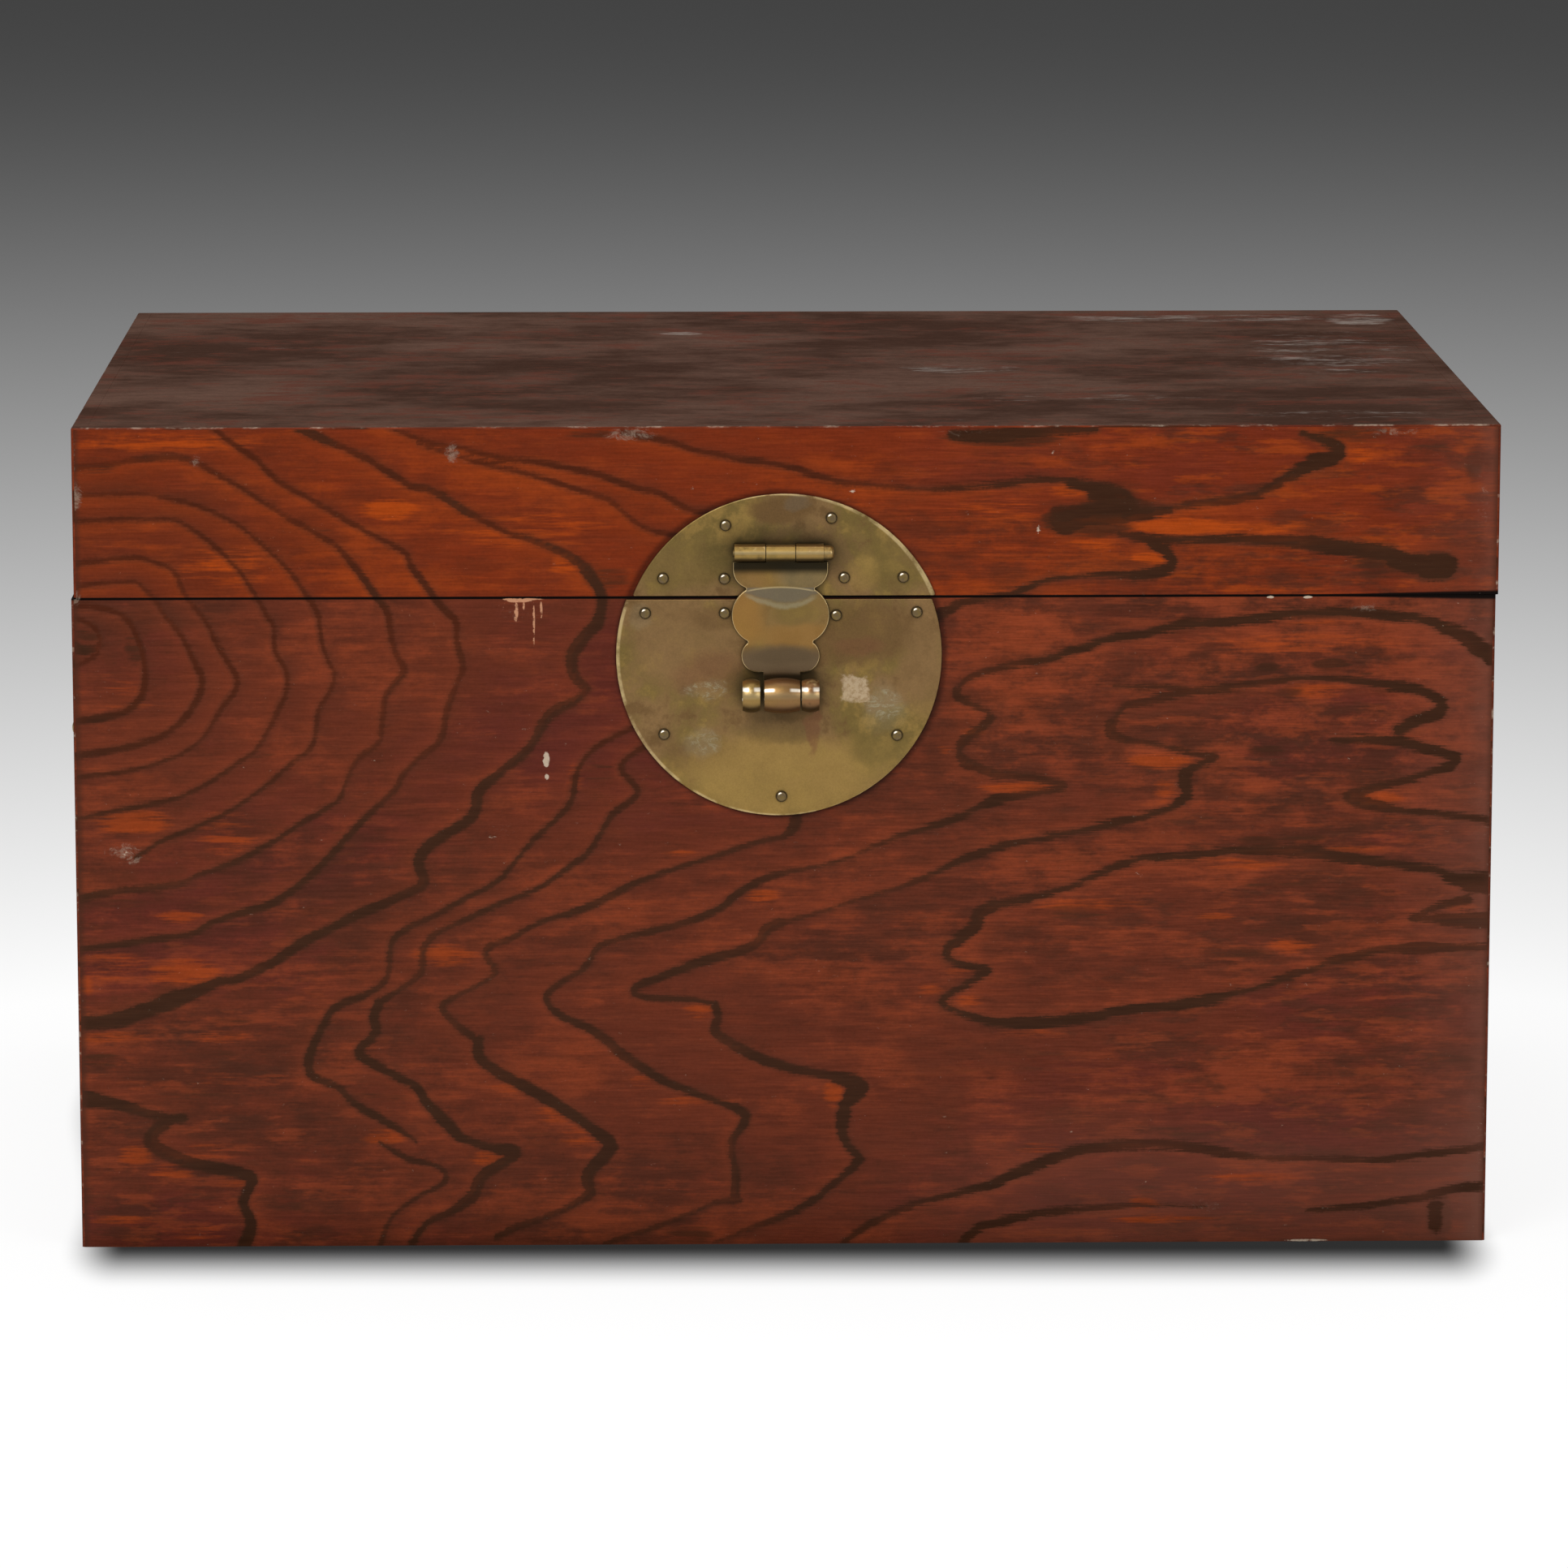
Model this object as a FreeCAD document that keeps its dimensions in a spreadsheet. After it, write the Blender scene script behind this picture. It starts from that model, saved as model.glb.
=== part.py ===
"""Lift-lid storage trunk with a round split lock plate and a hasp.

X runs along the width, Y from the front face to the back, Z up.
The origin is the middle of the underside.
All lengths are millimetres.
"""
import FreeCAD
import Part
import Sketcher
import os
import re
from FreeCAD import Rotation, Vector

SIZES = {
    # Case: outside sizes, boards and the seats of the top and bottom boards
    "width": 800,
    "depth": 560,
    "carcass_height": 373,
    "lid_height": 96.7,
    "rest_gap": 0.3,
    "lid_shift": 1.4,
    "wall": 18,
    "bottom_thickness": 14,
    "top_thickness": 16,
    "seat_ledge": 9,
    "wood_fit": 0.1,
    "edge_round": 1.5,
    "overrun": 2,
    # Half-blind dovetails at the four corners
    "dovetail_lap": 6,
    "dovetail_flare": 3,
    "carcass_tails": 7,
    "lid_tails": 2,
    # Lip strips that line the rim and locate the lid
    "lip_thickness": 8,
    "lip_depth": 22,
    "lip_rise": 8,
    "lip_setback": 2.4,
    "lip_lead": 1.5,
    # Round lock plate, split along the rim
    "plate_radius": 91.6,
    "plate_thickness": 1.5,
    "plate_drop": 32.8,
    "plate_split_margin": 0.9,
    "body_plate_shift": -3.3,
    "lid_plate_shift": -0.4,
    "plate_round": 0.6,
    "tip_round": 1,
    # Dome-headed nails of the lock plate
    "nail_head_radius": 3.2,
    "nail_head_height": 2.2,
    "nail_head_round": 1.9,
    "nail_shank_radius": 1,
    "nail_length": 12,
    "nail_fit": 0.1,
    # Hasp: hinge at the top, three lobes, tongue and curled barrel
    "hasp_shift": -2.5,
    "hasp_gap": 0.4,
    "hasp_thickness": 2,
    "hasp_hinge_rise": 26,
    "knuckle_radius": 4.75,
    "knuckle_gap": 0.5,
    "middle_knuckle_width": 16.2,
    "hasp_pin_radius": 2,
    "pin_fit": 0.08,
    "hasp_head_drop": 5.8,
    "upper_lobe_half": 26.6,
    "upper_lobe_drop": 9.8,
    "upper_neck_half": 17.6,
    "upper_neck_drop": 20.5,
    "middle_lobe_half": 27.3,
    "middle_lobe_drop": 35.4,
    "lower_neck_half": 17.4,
    "lower_neck_drop": 50.8,
    "lower_lobe_half": 21.9,
    "lower_lobe_drop": 59,
    "hasp_foot_half": 11.5,
    "hasp_foot_drop": 68,
    "notch_round": 1,
    "tongue_width": 20.5,
    "barrel_width": 20,
    "barrel_radius": 10,
    "barrel_end_radius": 8.6,
    "barrel_shift": 0.7,
    "barrel_gap": 0.8,
    # Straps that carry the hasp's hinge, clenched behind the lid's front
    "left_strap_width": 17.3,
    "right_strap_width": 15.6,
    "strap_thickness": 3.2,
    "pin_head_radius": 4.3,
    "pin_head_length": 5.6,
    "pin_head_round": 2.6,
    "pin_tail": 0.8,
    # Eyes of the lock, clenched behind the front board
    "lock_drop": 54,
    "lock_bore_radius": 6.2,
    "eye_width": 9.8,
    "eye_radius": 9.5,
    "eye_end_radius": 8.3,
    "eye_spacing": 33.2,
    "leg_width": 7,
    "leg_thickness": 4,
    "clench_length": 11,
    "clench_thickness": 2,
    "slot_fit": 0.2,
    # Rear hinges
    "hinge_spacing": 470,
    "hinge_offset": 0.4,
    "hinge_knuckle_radius": 4.5,
    "hinge_pin_radius": 2.2,
    "hinge_width": 60,
    "hinge_middle_width": 20,
    "hinge_gap": 0.5,
    "hinge_leaf_thickness": 2,
    "hinge_leaf_straight": 14,
    "hinge_leaf_height": 42,
    "hinge_pin_head": 2,
    "hinge_pin_head_radius": 3.4,
    # Bail handles on the two ends
    "handle_height": 262,
    "handle_spacing": 116,
    "handle_standoff": 11,
    "bail_radius": 3.4,
    "bail_fit": 0.35,
    "bail_drop": 46,
    "bail_corner": 20,
    "bail_turn": 7,
    "bail_overhang": 3,
    "post_radius": 7,
    "post_end_radius": 6.2,
    "post_width": 7,
    "post_leg_width": 5,
    "rose_radius": 16,
    "rose_thickness": 1.5,
}

# Nail centres on the lock plate, as shares of its radius from the circle's centre
lid_nail_shares = [(-0.359, 0.806), (0.289, 0.849), (-0.742, 0.479),
                   (-0.366, 0.476), (0.368, 0.481), (0.730, 0.483)]
body_nail_shares = [(-0.820, 0.264), (-0.334, 0.263), (0.351, 0.248), (0.845, 0.266),
                    (-0.706, -0.489), (0.726, -0.499), (0.015, -0.879)]
# Nail centres on a rear hinge leaf, as shares of its width and height
leaf_nail_shares = [(-0.36, 0.38), (0.36, 0.38), (0, 0.78)]
# Width of a dovetail at its tip, as a share of the distance between dovetails
tail_width_share = 0.56
# Distance within which two places count as the same
same_place = 1e-4

doc = FreeCAD.newDocument("trunk")
sheet = doc.addObject("Spreadsheet::Sheet", "sizes")
for row, (name, size) in enumerate(SIZES.items(), start=1):
    sheet.set(f"A{row}", name)
    sheet.set(f"B{row}", str(size))
    sheet.setAlias(f"B{row}", name)
doc.recompute()

parts = []


# Expressions on the sheet

def bound(text):
    """The expression with each size named as a cell of the sheet."""
    return re.sub(r"[a-z_]+", lambda word: "sizes." + word[0] if word[0] in SIZES else word[0], text)


def value(text):
    """The present value of an expression in sizes."""
    return float(sheet.evalExpression(bound(text)))


def point(at):
    return Vector(value(at[0]), value(at[1]), 0)


# Places that several pieces share
LID_BASE = "(carcass_height + rest_gap)"
FRONT = "(-depth / 2)"
BACK = "(depth / 2)"
PLATE_CENTRE = "(carcass_height - plate_drop)"
HASP_AXIS_OUT = "(plate_thickness + hasp_gap + knuckle_radius)"
HASP_AXIS_UP = "(carcass_height + hasp_hinge_rise)"
LOCK_AXIS_OUT = "(plate_thickness + barrel_gap + barrel_radius)"
LOCK_AXIS_UP = "(carcass_height - lock_drop)"
HINGE_AXIS_OUT = "(hinge_knuckle_radius + hinge_offset)"
HINGE_AXIS_UP = "(carcass_height + rest_gap / 2)"


# Sketches

def plane(body, role):
    return next(f for f in body.Origin.OriginFeatures if f.Role == role)


def new_body(label, place=("0", "0", "0"), axis=Vector(0, 0, 1), turn=0):
    body = doc.addObject("PartDesign::Body", label)
    body.Placement.Rotation = Rotation(axis, turn)
    for letter, text in zip("xyz", place):
        body.setExpression(f"Placement.Base.{letter}", bound(text))
    parts.append(body)
    return body


def new_sketch(body, name, role, offset="0"):
    sketch = body.newObject("Sketcher::SketchObject", f"{body.Label}_{name}")
    sketch.AttachmentSupport = [(plane(body, role), "")]
    sketch.MapMode = "FlatFace"
    sketch.setExpression("AttachmentOffset.Base.z", bound(offset))
    return sketch


def pin_down(sketch, geometry, position, at):
    """Fix a sketch point at a place given by two expressions."""
    for kind, axis, text in (("DistanceX", -2, at[0]), ("DistanceY", -1, at[1])):
        if text == "0":
            sketch.addConstraint(Sketcher.Constraint("PointOnObject", geometry, position, axis))
        else:
            index = sketch.addConstraint(Sketcher.Constraint(kind, -1, 1, geometry, position, value(text)))
            sketch.setExpression(f"Constraints[{index}]", bound(text))


def draw(sketch, points, closed=True):
    """Outline through points. A point with four entries starts an arc by way of its last two."""
    ends = []
    count = len(points) if closed else len(points) - 1
    for i in range(count):
        start = points[i]
        stop = points[(i + 1) % len(points)]
        if len(start) == 2:
            geometry = sketch.addGeometry(Part.LineSegment(point(start), point(stop)))
        else:
            geometry = sketch.addGeometry(Part.Arc(point(start), point(start[2:]), point(stop)))
            marker = sketch.addGeometry(Part.Point(point(start[2:])), True)
            sketch.addConstraint(Sketcher.Constraint("PointOnObject", marker, 1, geometry))
            pin_down(sketch, marker, 1, start[2:])
        gaps = [(sketch.getPoint(geometry, end) - point(start)).Length for end in (1, 2)]
        ends.append((geometry, 1, 2) if gaps[0] < gaps[1] else (geometry, 2, 1))
    for i, (geometry, first, last) in enumerate(ends):
        pin_down(sketch, geometry, first, points[i])
        if closed or i + 1 < len(ends):
            follower, its_first, _ = ends[(i + 1) % len(ends)]
            sketch.addConstraint(Sketcher.Constraint("Coincident", geometry, last, follower, its_first))
        else:
            pin_down(sketch, geometry, last, points[-1])
    return sketch


def circles(sketch, centres, radius):
    for at in centres:
        geometry = sketch.addGeometry(Part.Circle(point(at), Vector(0, 0, 1), value(radius)))
        pin_down(sketch, geometry, 3, at)
        index = sketch.addConstraint(Sketcher.Constraint("Radius", geometry, value(radius)))
        sketch.setExpression(f"Constraints[{index}]", bound(radius))
    return sketch


def rectangle(low, high):
    return [(low[0], low[1]), (high[0], low[1]), (high[0], high[1]), (low[0], high[1])]


# Features

def pad(body, sketch, length, reverse=False, middle=False):
    feature = body.newObject("PartDesign::Pad", f"{sketch.Label}_pad")
    feature.Profile = sketch
    feature.setExpression("Length", bound(length))
    feature.SideType = "Symmetric" if middle else "One side"
    feature.Reversed = reverse
    doc.recompute()
    return feature


def pocket(body, sketch, length, reverse=False, middle=False):
    before = body.Shape.Volume
    feature = body.newObject("PartDesign::Pocket", f"{sketch.Label}_pocket")
    feature.Profile = sketch
    feature.setExpression("Length", bound(length))
    feature.SideType = "Symmetric" if middle else "One side"
    feature.Reversed = reverse
    doc.recompute()
    if body.Shape.Volume >= before:
        raise RuntimeError(f"{sketch.Label} cuts nothing")
    return feature


def revolve(body, sketch, axis="H_Axis"):
    feature = body.newObject("PartDesign::Revolution", f"{sketch.Label}_turned")
    feature.Profile = sketch
    feature.ReferenceAxis = (sketch, [axis])
    feature.Angle = 360
    doc.recompute()
    return feature


def rounded(body, radius, wanted):
    """Round the edges of the body for which wanted(edge) holds."""
    tip = body.Tip
    edges = [f"Edge{i}" for i, edge in enumerate(tip.Shape.Edges, start=1) if wanted(edge)]
    if not edges:
        raise RuntimeError(f"{body.Label} has no edge to round by {radius}")
    feature = body.newObject("PartDesign::Fillet", f"{body.Label}_{radius}")
    feature.Base = (tip, edges)
    feature.setExpression("Radius", bound(radius))
    doc.recompute()
    return feature


def near(length, text):
    return abs(length - value(text)) < same_place


# Boards of the case

def tail_places(height, tails, foot):
    """Distance between dovetails and the middle of the lowest, for a board of that height."""
    pitch = f"(({height}) / {tails})"
    return pitch, f"({foot} + {pitch} / 2)"


def tail(lap, root, pitch, middle, fit):
    """Outline of one dovetail, wide at the lap and narrow at its root."""
    tip_half = f"{pitch} * {tail_width_share} / 2 + {fit}"
    root_half = f"{tip_half} - dovetail_flare"
    return [(lap, f"{middle} - ({tip_half})"), (root, f"{middle} - ({root_half})"),
            (root, f"{middle} + {root_half}"), (lap, f"{middle} + {tip_half}")]


def repeat_tails(body, feature, sketch, pitch, tails, mirrored=None):
    row = doc.addObject("PartDesign::LinearPattern", f"{body.Label}_row")
    row.Direction = (sketch, ["V_Axis"])
    row.setExpression("Length", bound(f"{pitch} * ({tails} - 1)"))
    row.setExpression("Occurrences", bound(tails))
    repeat = body.newObject("PartDesign::MultiTransform", f"{body.Label}_tails")
    repeat.Originals = [feature]
    steps = [row]
    if mirrored:
        mirror = doc.addObject("PartDesign::Mirrored", f"{body.Label}_mirror")
        mirror.MirrorPlane = (plane(body, mirrored), [""])
        steps.append(mirror)
    repeat.Transformations = steps
    body.Tip = repeat
    doc.recompute()


def seat_outline(along_x, along_y):
    """The opening that the top or bottom board drops into, in a board's own frame."""
    return rectangle((f"-({along_x})", f"-({along_y})"), (along_x, along_y))


def outer_edge(edge, height, rim):
    """Whether an edge lies on an outer corner of the case, or on its top where that is no rim."""
    at_end = all(near(abs(v.X), "width / 2") for v in edge.Vertexes)
    at_front = all(near(v.Y, FRONT) for v in edge.Vertexes)
    at_top = all(near(v.Z, height) for v in edge.Vertexes)
    same_end = near(edge.BoundBox.XLength, "0")
    return at_end and at_front and same_end or at_top and not rim and (at_front or at_end and same_end)


def case_board(label, kind, height, tails, foot, seat_top, seat_depth, place, turn):
    """One upright board of the case, in the frame of the case's middle, facing the front or an end."""
    body = new_body(label, place, turn=turn)
    pitch, middle = tail_places(f"{height} - {seat_depth}", tails, foot)
    if kind == "long":
        face = rectangle(("-width / 2", "0"), ("width / 2", height))
        board = draw(new_sketch(body, "face", "XZ_Plane", "depth / 2"), face)
        pad(body, board, "wall", reverse=True)
        socket = tail("-(depth / 2 - dovetail_lap + wood_fit)", "-(depth / 2 - wall)",
                      pitch, middle, "wood_fit")
        sketch = draw(new_sketch(body, "socket", "YZ_Plane", "width / 2"), socket)
        cut = pocket(body, sketch, "wall")
        repeat_tails(body, cut, sketch, pitch, tails, "YZ_Plane")
    else:
        face = rectangle(("-(depth / 2 - wall)", "0"), ("depth / 2 - wall", height))
        board = draw(new_sketch(body, "face", "YZ_Plane", "-width / 2"), face)
        pad(body, board, "wall")
        shape = tail("-(depth / 2 - dovetail_lap)", "-(depth / 2 - wall)", pitch, middle, "0")
        sketch = draw(new_sketch(body, "tail", "YZ_Plane", "-width / 2"), shape)
        added = pad(body, sketch, "wall")
        repeat_tails(body, added, sketch, pitch, tails, "XZ_Plane")
    seat = draw(new_sketch(body, "seat", "XY_Plane", seat_top),
                seat_outline("width / 2 - seat_ledge", "depth / 2 - seat_ledge"))
    pocket(body, seat, seat_depth)
    rim = seat_top != height
    if kind == "long" or not rim:
        rounded(body, "edge_round", lambda edge: outer_edge(edge, height, rim))
    return body


def panel(label, thickness, place):
    body = new_body(label, place)
    outline = seat_outline("width / 2 - seat_ledge - wood_fit", "depth / 2 - seat_ledge - wood_fit")
    pad(body, draw(new_sketch(body, "outline", "XY_Plane"), outline), thickness)
    return body


CARCASS = ("carcass_height", "carcass_tails", "bottom_thickness", "bottom_thickness", "bottom_thickness")
LID = ("lid_height", "lid_tails", "0", "lid_height", "top_thickness")
LID_PLACE = ("lid_shift", "0", LID_BASE)
HERE = ("0", "0", "0")

front_board = case_board("front_board", "long", *CARCASS, HERE, 0)
back_board = case_board("back_board", "long", *CARCASS, HERE, 180)
left_side_board = case_board("left_side_board", "short", *CARCASS, HERE, 0)
right_side_board = case_board("right_side_board", "short", *CARCASS, HERE, 180)
bottom_board = panel("bottom_board", "bottom_thickness", HERE)

lid_front_rail = case_board("lid_front_rail", "long", *LID, LID_PLACE, 0)
lid_back_rail = case_board("lid_back_rail", "long", *LID, LID_PLACE, 180)
lid_left_rail = case_board("lid_left_rail", "short", *LID, LID_PLACE, 0)
lid_right_rail = case_board("lid_right_rail", "short", *LID, LID_PLACE, 180)
lid_top_board = panel("lid_top_board", "top_thickness",
                      ("lid_shift", "0", f"{LID_BASE} + lid_height - top_thickness"))


def lip(label, place, turn, length, corner):
    """Strip against a board's inner face: full below the rim, set back above it, with a lead at its top.

    corner is how far the raised part stops short of the strip's ends."""
    body = new_body(label, place, turn=turn)
    section = [("0", "-lip_depth"), ("lip_thickness", "-lip_depth"), ("lip_thickness", "lip_rise"),
               ("lip_setback + lip_lead", "lip_rise"), ("lip_setback", "lip_rise - lip_lead"),
               ("lip_setback", "0"), ("0", "0")]
    pad(body, draw(new_sketch(body, "section", "YZ_Plane"), section), length, middle=True)
    if corner:
        ends = new_sketch(body, "ends", "XZ_Plane")
        for sign in ("-", ""):
            inner = f"{sign}(({length}) / 2 - {corner})"
            outer = f"{sign}(({length}) / 2 + overrun)"
            draw(ends, rectangle((inner, "0"), (outer, "lip_rise + overrun")))
        pocket(body, ends, "2 * lip_thickness + overrun", middle=True)
    return body


LIP_LONG = "width - 2 * wall - 2 * wood_fit"
LIP_SHORT = "depth - 2 * wall - 2 * lip_thickness - 2 * wood_fit"
INSIDE_X = "(width / 2 - wall)"
INSIDE_Y = "(depth / 2 - wall)"

lip("front_lip", ("0", f"-{INSIDE_Y}", "carcass_height"), 0, LIP_LONG, "lip_setback")
lip("back_lip", ("0", INSIDE_Y, "carcass_height"), 180, LIP_LONG, "lip_setback")
lip("left_lip", (f"-{INSIDE_X}", "0", "carcass_height"), -90, LIP_SHORT, None)
lip("right_lip", (INSIDE_X, "0", "carcass_height"), 90, LIP_SHORT, None)


# Nails

def spread(shares, along, up, shift="0", rise="0"):
    """Nail centres from shares of two sizes, moved by a shift and a rise."""
    return [(f"{shift} + {x} * {along}", f"{rise} + {z} * {up}") for x, z in shares]


def nails(label, place, turn, centres, base):
    """Dome-headed nails through a sheet of thickness base, on a face that looks along -Y."""
    body = new_body(label, place, turn=turn)
    shanks = circles(new_sketch(body, "shanks", "XZ_Plane", base), centres, "nail_shank_radius")
    pad(body, shanks, "nail_length", reverse=True)
    heads = circles(new_sketch(body, "heads", "XZ_Plane", base), centres, "nail_head_radius")
    pad(body, heads, "nail_head_height")
    top = f"-({base}) - nail_head_height"
    rounded(body, "nail_head_round", lambda edge: near(edge.CenterOfMass.y, top) and
            near(edge.BoundBox.YLength, "0"))
    return body


def nail_holes(body, centres, length, offset, reverse=False):
    sketch = new_sketch(body, "nail_holes", "XZ_Plane", offset)
    pocket(body, circles(sketch, centres, "nail_shank_radius + nail_fit"), length, reverse=reverse)


PILOT = "nail_length + nail_fit"



def plate_nails(shares, shift="0", rise="0"):
    return spread(shares, "plate_radius", "plate_radius", shift, rise)


for label, shares, shift, board, board_shift, rise in (
        ("body_plate_nails", body_nail_shares, "body_plate_shift", front_board, "0", PLATE_CENTRE),
        ("lid_plate_nails", lid_nail_shares, "lid_plate_shift", lid_front_rail, "lid_shift",
         f"({PLATE_CENTRE} - {LID_BASE})")):
    nails(label, (shift, FRONT, PLATE_CENTRE), 0, plate_nails(shares), "plate_thickness")
    nail_holes(board, plate_nails(shares, f"({shift} - {board_shift})", rise),
               f"{PILOT} - plate_thickness", "depth / 2")


# Lock plate, in two halves

def slots(body, role, offset, centres, half_width, half_height, length, reverse=False):
    """Rectangular through slots, given their centres in the sketch plane."""
    for index, (x, z) in enumerate(centres):
        outline = rectangle((f"{x} - ({half_width})", f"{z} - ({half_height})"),
                            (f"{x} + {half_width}", f"{z} + {half_height}"))
        sketch = draw(new_sketch(body, f"slot_{index}", role, offset), outline)
        pocket(body, sketch, length, reverse=reverse)


def lock_plate(label, shift, edge_height, kept, centres):
    """Round plate on the kept side of a straight edge at edge_height over the circle's centre."""
    body = new_body(label, (shift, FRONT, PLATE_CENTRE))
    half_chord = f"sqrt(plate_radius^2 - {edge_height}^2)"
    outline = [(f"-{half_chord}", edge_height, "0", f"{kept}plate_radius"), (half_chord, edge_height)]
    pad(body, draw(new_sketch(body, "outline", "XZ_Plane"), outline), "plate_thickness")
    rounded(body, "tip_round", lambda edge: near(edge.BoundBox.YLength, "plate_thickness"))
    rounded(body, "plate_round", lambda edge: near(edge.BoundBox.YMax, "-plate_thickness"))
    nail_holes(body, plate_nails(centres), "plate_thickness", "0", reverse=True)
    return body


body_lock_plate = lock_plate("body_lock_plate", "body_plate_shift",
                             "(plate_drop - plate_split_margin)", "-", body_nail_shares)
lid_lock_plate = lock_plate("lid_lock_plate", "lid_plate_shift",
                            "(plate_drop + plate_split_margin)", "", lid_nail_shares)

EYE_PLACES = {"left": "(hasp_shift - eye_spacing / 2)", "right": "(hasp_shift + eye_spacing / 2)"}
eye_slot = ("leg_width / 2 + slot_fit", "leg_thickness / 2 + slot_fit")
slots(body_lock_plate, "XZ_Plane", "0",
      [(f"{x} - body_plate_shift", "plate_drop - lock_drop") for x in EYE_PLACES.values()],
      *eye_slot, "plate_thickness", reverse=True)
slots(front_board, "XZ_Plane", "depth / 2", [(x, LOCK_AXIS_UP) for x in EYE_PLACES.values()],
      *eye_slot, "wall")


# Eyes of the lock

def eye_ring(body, role, bore, width, end_radius, radius):
    """Ring with a crowned outside about the first axis of the sketch plane."""
    section = [(f"-{width} / 2", bore), (f"{width} / 2", bore),
               (f"{width} / 2", end_radius, "0", radius), (f"-{width} / 2", end_radius)]
    revolve(body, draw(new_sketch(body, "ring", role), section))


def clenched_leg(body, role, start, face, width):
    """Leg from the ring through a board, both of its halves bent over on the far face."""
    near_half = "leg_thickness / 2"
    far_half = "leg_thickness / 2 + clench_length"
    end = f"{face} + clench_thickness"
    outline = [(start, f"-({near_half})"), (face, f"-({near_half})"), (face, f"-({far_half})"),
               (end, f"-({far_half})"), (end, far_half), (face, far_half),
               (face, near_half), (start, near_half)]
    pad(body, draw(new_sketch(body, "leg", role), outline), width, middle=True)


for side, x in EYE_PLACES.items():
    eye = new_body(f"{side}_lock_eye", (x, f"{FRONT} - {LOCK_AXIS_OUT}", LOCK_AXIS_UP))
    eye_ring(eye, "XZ_Plane", "lock_bore_radius", "eye_width", "eye_end_radius", "eye_radius")
    clenched_leg(eye, "YZ_Plane", "(lock_bore_radius + eye_end_radius) / 2",
                 f"({LOCK_AXIS_OUT} + wall)", "leg_width")


# Hasp, its straps and its pin

STRAP_PLACES = {
    "left": "(hasp_shift - middle_knuckle_width / 2 - knuckle_gap - left_strap_width / 2)",
    "right": "(hasp_shift + middle_knuckle_width / 2 + knuckle_gap + right_strap_width / 2)",
}


def bore(body, role, radius, length, name="bore", at=("0", "0")):
    pocket(body, circles(new_sketch(body, name, role), [at], radius), length, middle=True)


for side, x in STRAP_PLACES.items():
    strap = new_body(f"{side}_hasp_strap", (x, f"{FRONT} - {HASP_AXIS_OUT}", HASP_AXIS_UP))
    inner = f"({HASP_AXIS_OUT} + wall)"
    under = "knuckle_radius - strap_thickness"
    profile = [("0", "knuckle_radius"), (inner, "knuckle_radius"),
               (inner, "knuckle_radius + clench_length"),
               (f"{inner} + clench_thickness", "knuckle_radius + clench_length"),
               (f"{inner} + clench_thickness", under),
               (f"sqrt(knuckle_radius^2 - ({under})^2)", under, "-knuckle_radius", "0")]
    pad(strap, draw(new_sketch(strap, "profile", "YZ_Plane"), profile), f"{side}_strap_width", middle=True)
    bore(strap, "YZ_Plane", "hasp_pin_radius + pin_fit", f"{side}_strap_width + overrun")

    slot_half = (f"{side}_strap_width / 2 + slot_fit", "strap_thickness / 2 + slot_fit")
    slot_up = f"({HASP_AXIS_UP} + knuckle_radius - strap_thickness / 2)"
    slots(lid_lock_plate, "XZ_Plane", "0", [(f"{x} - lid_plate_shift", f"{slot_up} - {PLATE_CENTRE}")],
          *slot_half, "plate_thickness", reverse=True)
    slots(lid_front_rail, "XZ_Plane", "depth / 2", [(f"{x} - lid_shift", f"{slot_up} - {LID_BASE}")],
          *slot_half, "wall")

hasp_pin = new_body("hasp_pin", ("hasp_shift", f"{FRONT} - {HASP_AXIS_OUT}", HASP_AXIS_UP))
pin_left = "(middle_knuckle_width / 2 + knuckle_gap + left_strap_width + pin_tail)"
pin_right = "(middle_knuckle_width / 2 + knuckle_gap + right_strap_width + pin_fit)"
shank = circles(new_sketch(hasp_pin, "shank", "YZ_Plane", f"-{pin_left}"), [("0", "0")], "hasp_pin_radius")
pad(hasp_pin, shank, f"{pin_left} + {pin_right}")
head = circles(new_sketch(hasp_pin, "head", "YZ_Plane", pin_right), [("0", "0")], "pin_head_radius")
pad(hasp_pin, head, "pin_head_length")
rounded(hasp_pin, "pin_head_round", lambda edge: near(edge.BoundBox.XMin, f"{pin_right} + pin_head_length"))

hasp = new_body("hasp", ("hasp_shift", f"{FRONT} - {HASP_AXIS_OUT}", HASP_AXIS_UP))
shoulder = "(upper_lobe_half - upper_neck_half)"
shoulder_fall = "(upper_neck_drop - upper_lobe_drop)"
shoulder_radius = f"(({shoulder}^2 + {shoulder_fall}^2) / (2 * {shoulder}))"
shoulder_way = (f"upper_lobe_half - {shoulder_radius} * (1 - sqrt(0.5))",
                f"-upper_lobe_drop - {shoulder_radius} * sqrt(0.5)")
right_edge = [
    ("upper_lobe_half", "-hasp_head_drop"),
    ("upper_lobe_half", "-upper_lobe_drop", *shoulder_way),
    ("upper_neck_half", "-upper_neck_drop", "middle_lobe_half", "-middle_lobe_drop"),
    ("lower_neck_half", "-lower_neck_drop", "lower_lobe_half", "-lower_lobe_drop"),
    ("hasp_foot_half", "-hasp_foot_drop"),
]


def mirrored(edge):
    """The left edge from its foot up, from the right edge given from its head down."""
    steps = []
    for i in range(len(edge) - 1, -1, -1):
        x, z = edge[i][:2]
        way = edge[i - 1][2:] if i > 0 else ()
        steps.append((f"-({x})", z) + ((f"-({way[0]})", way[1]) if way else ()))
    return steps


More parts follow.
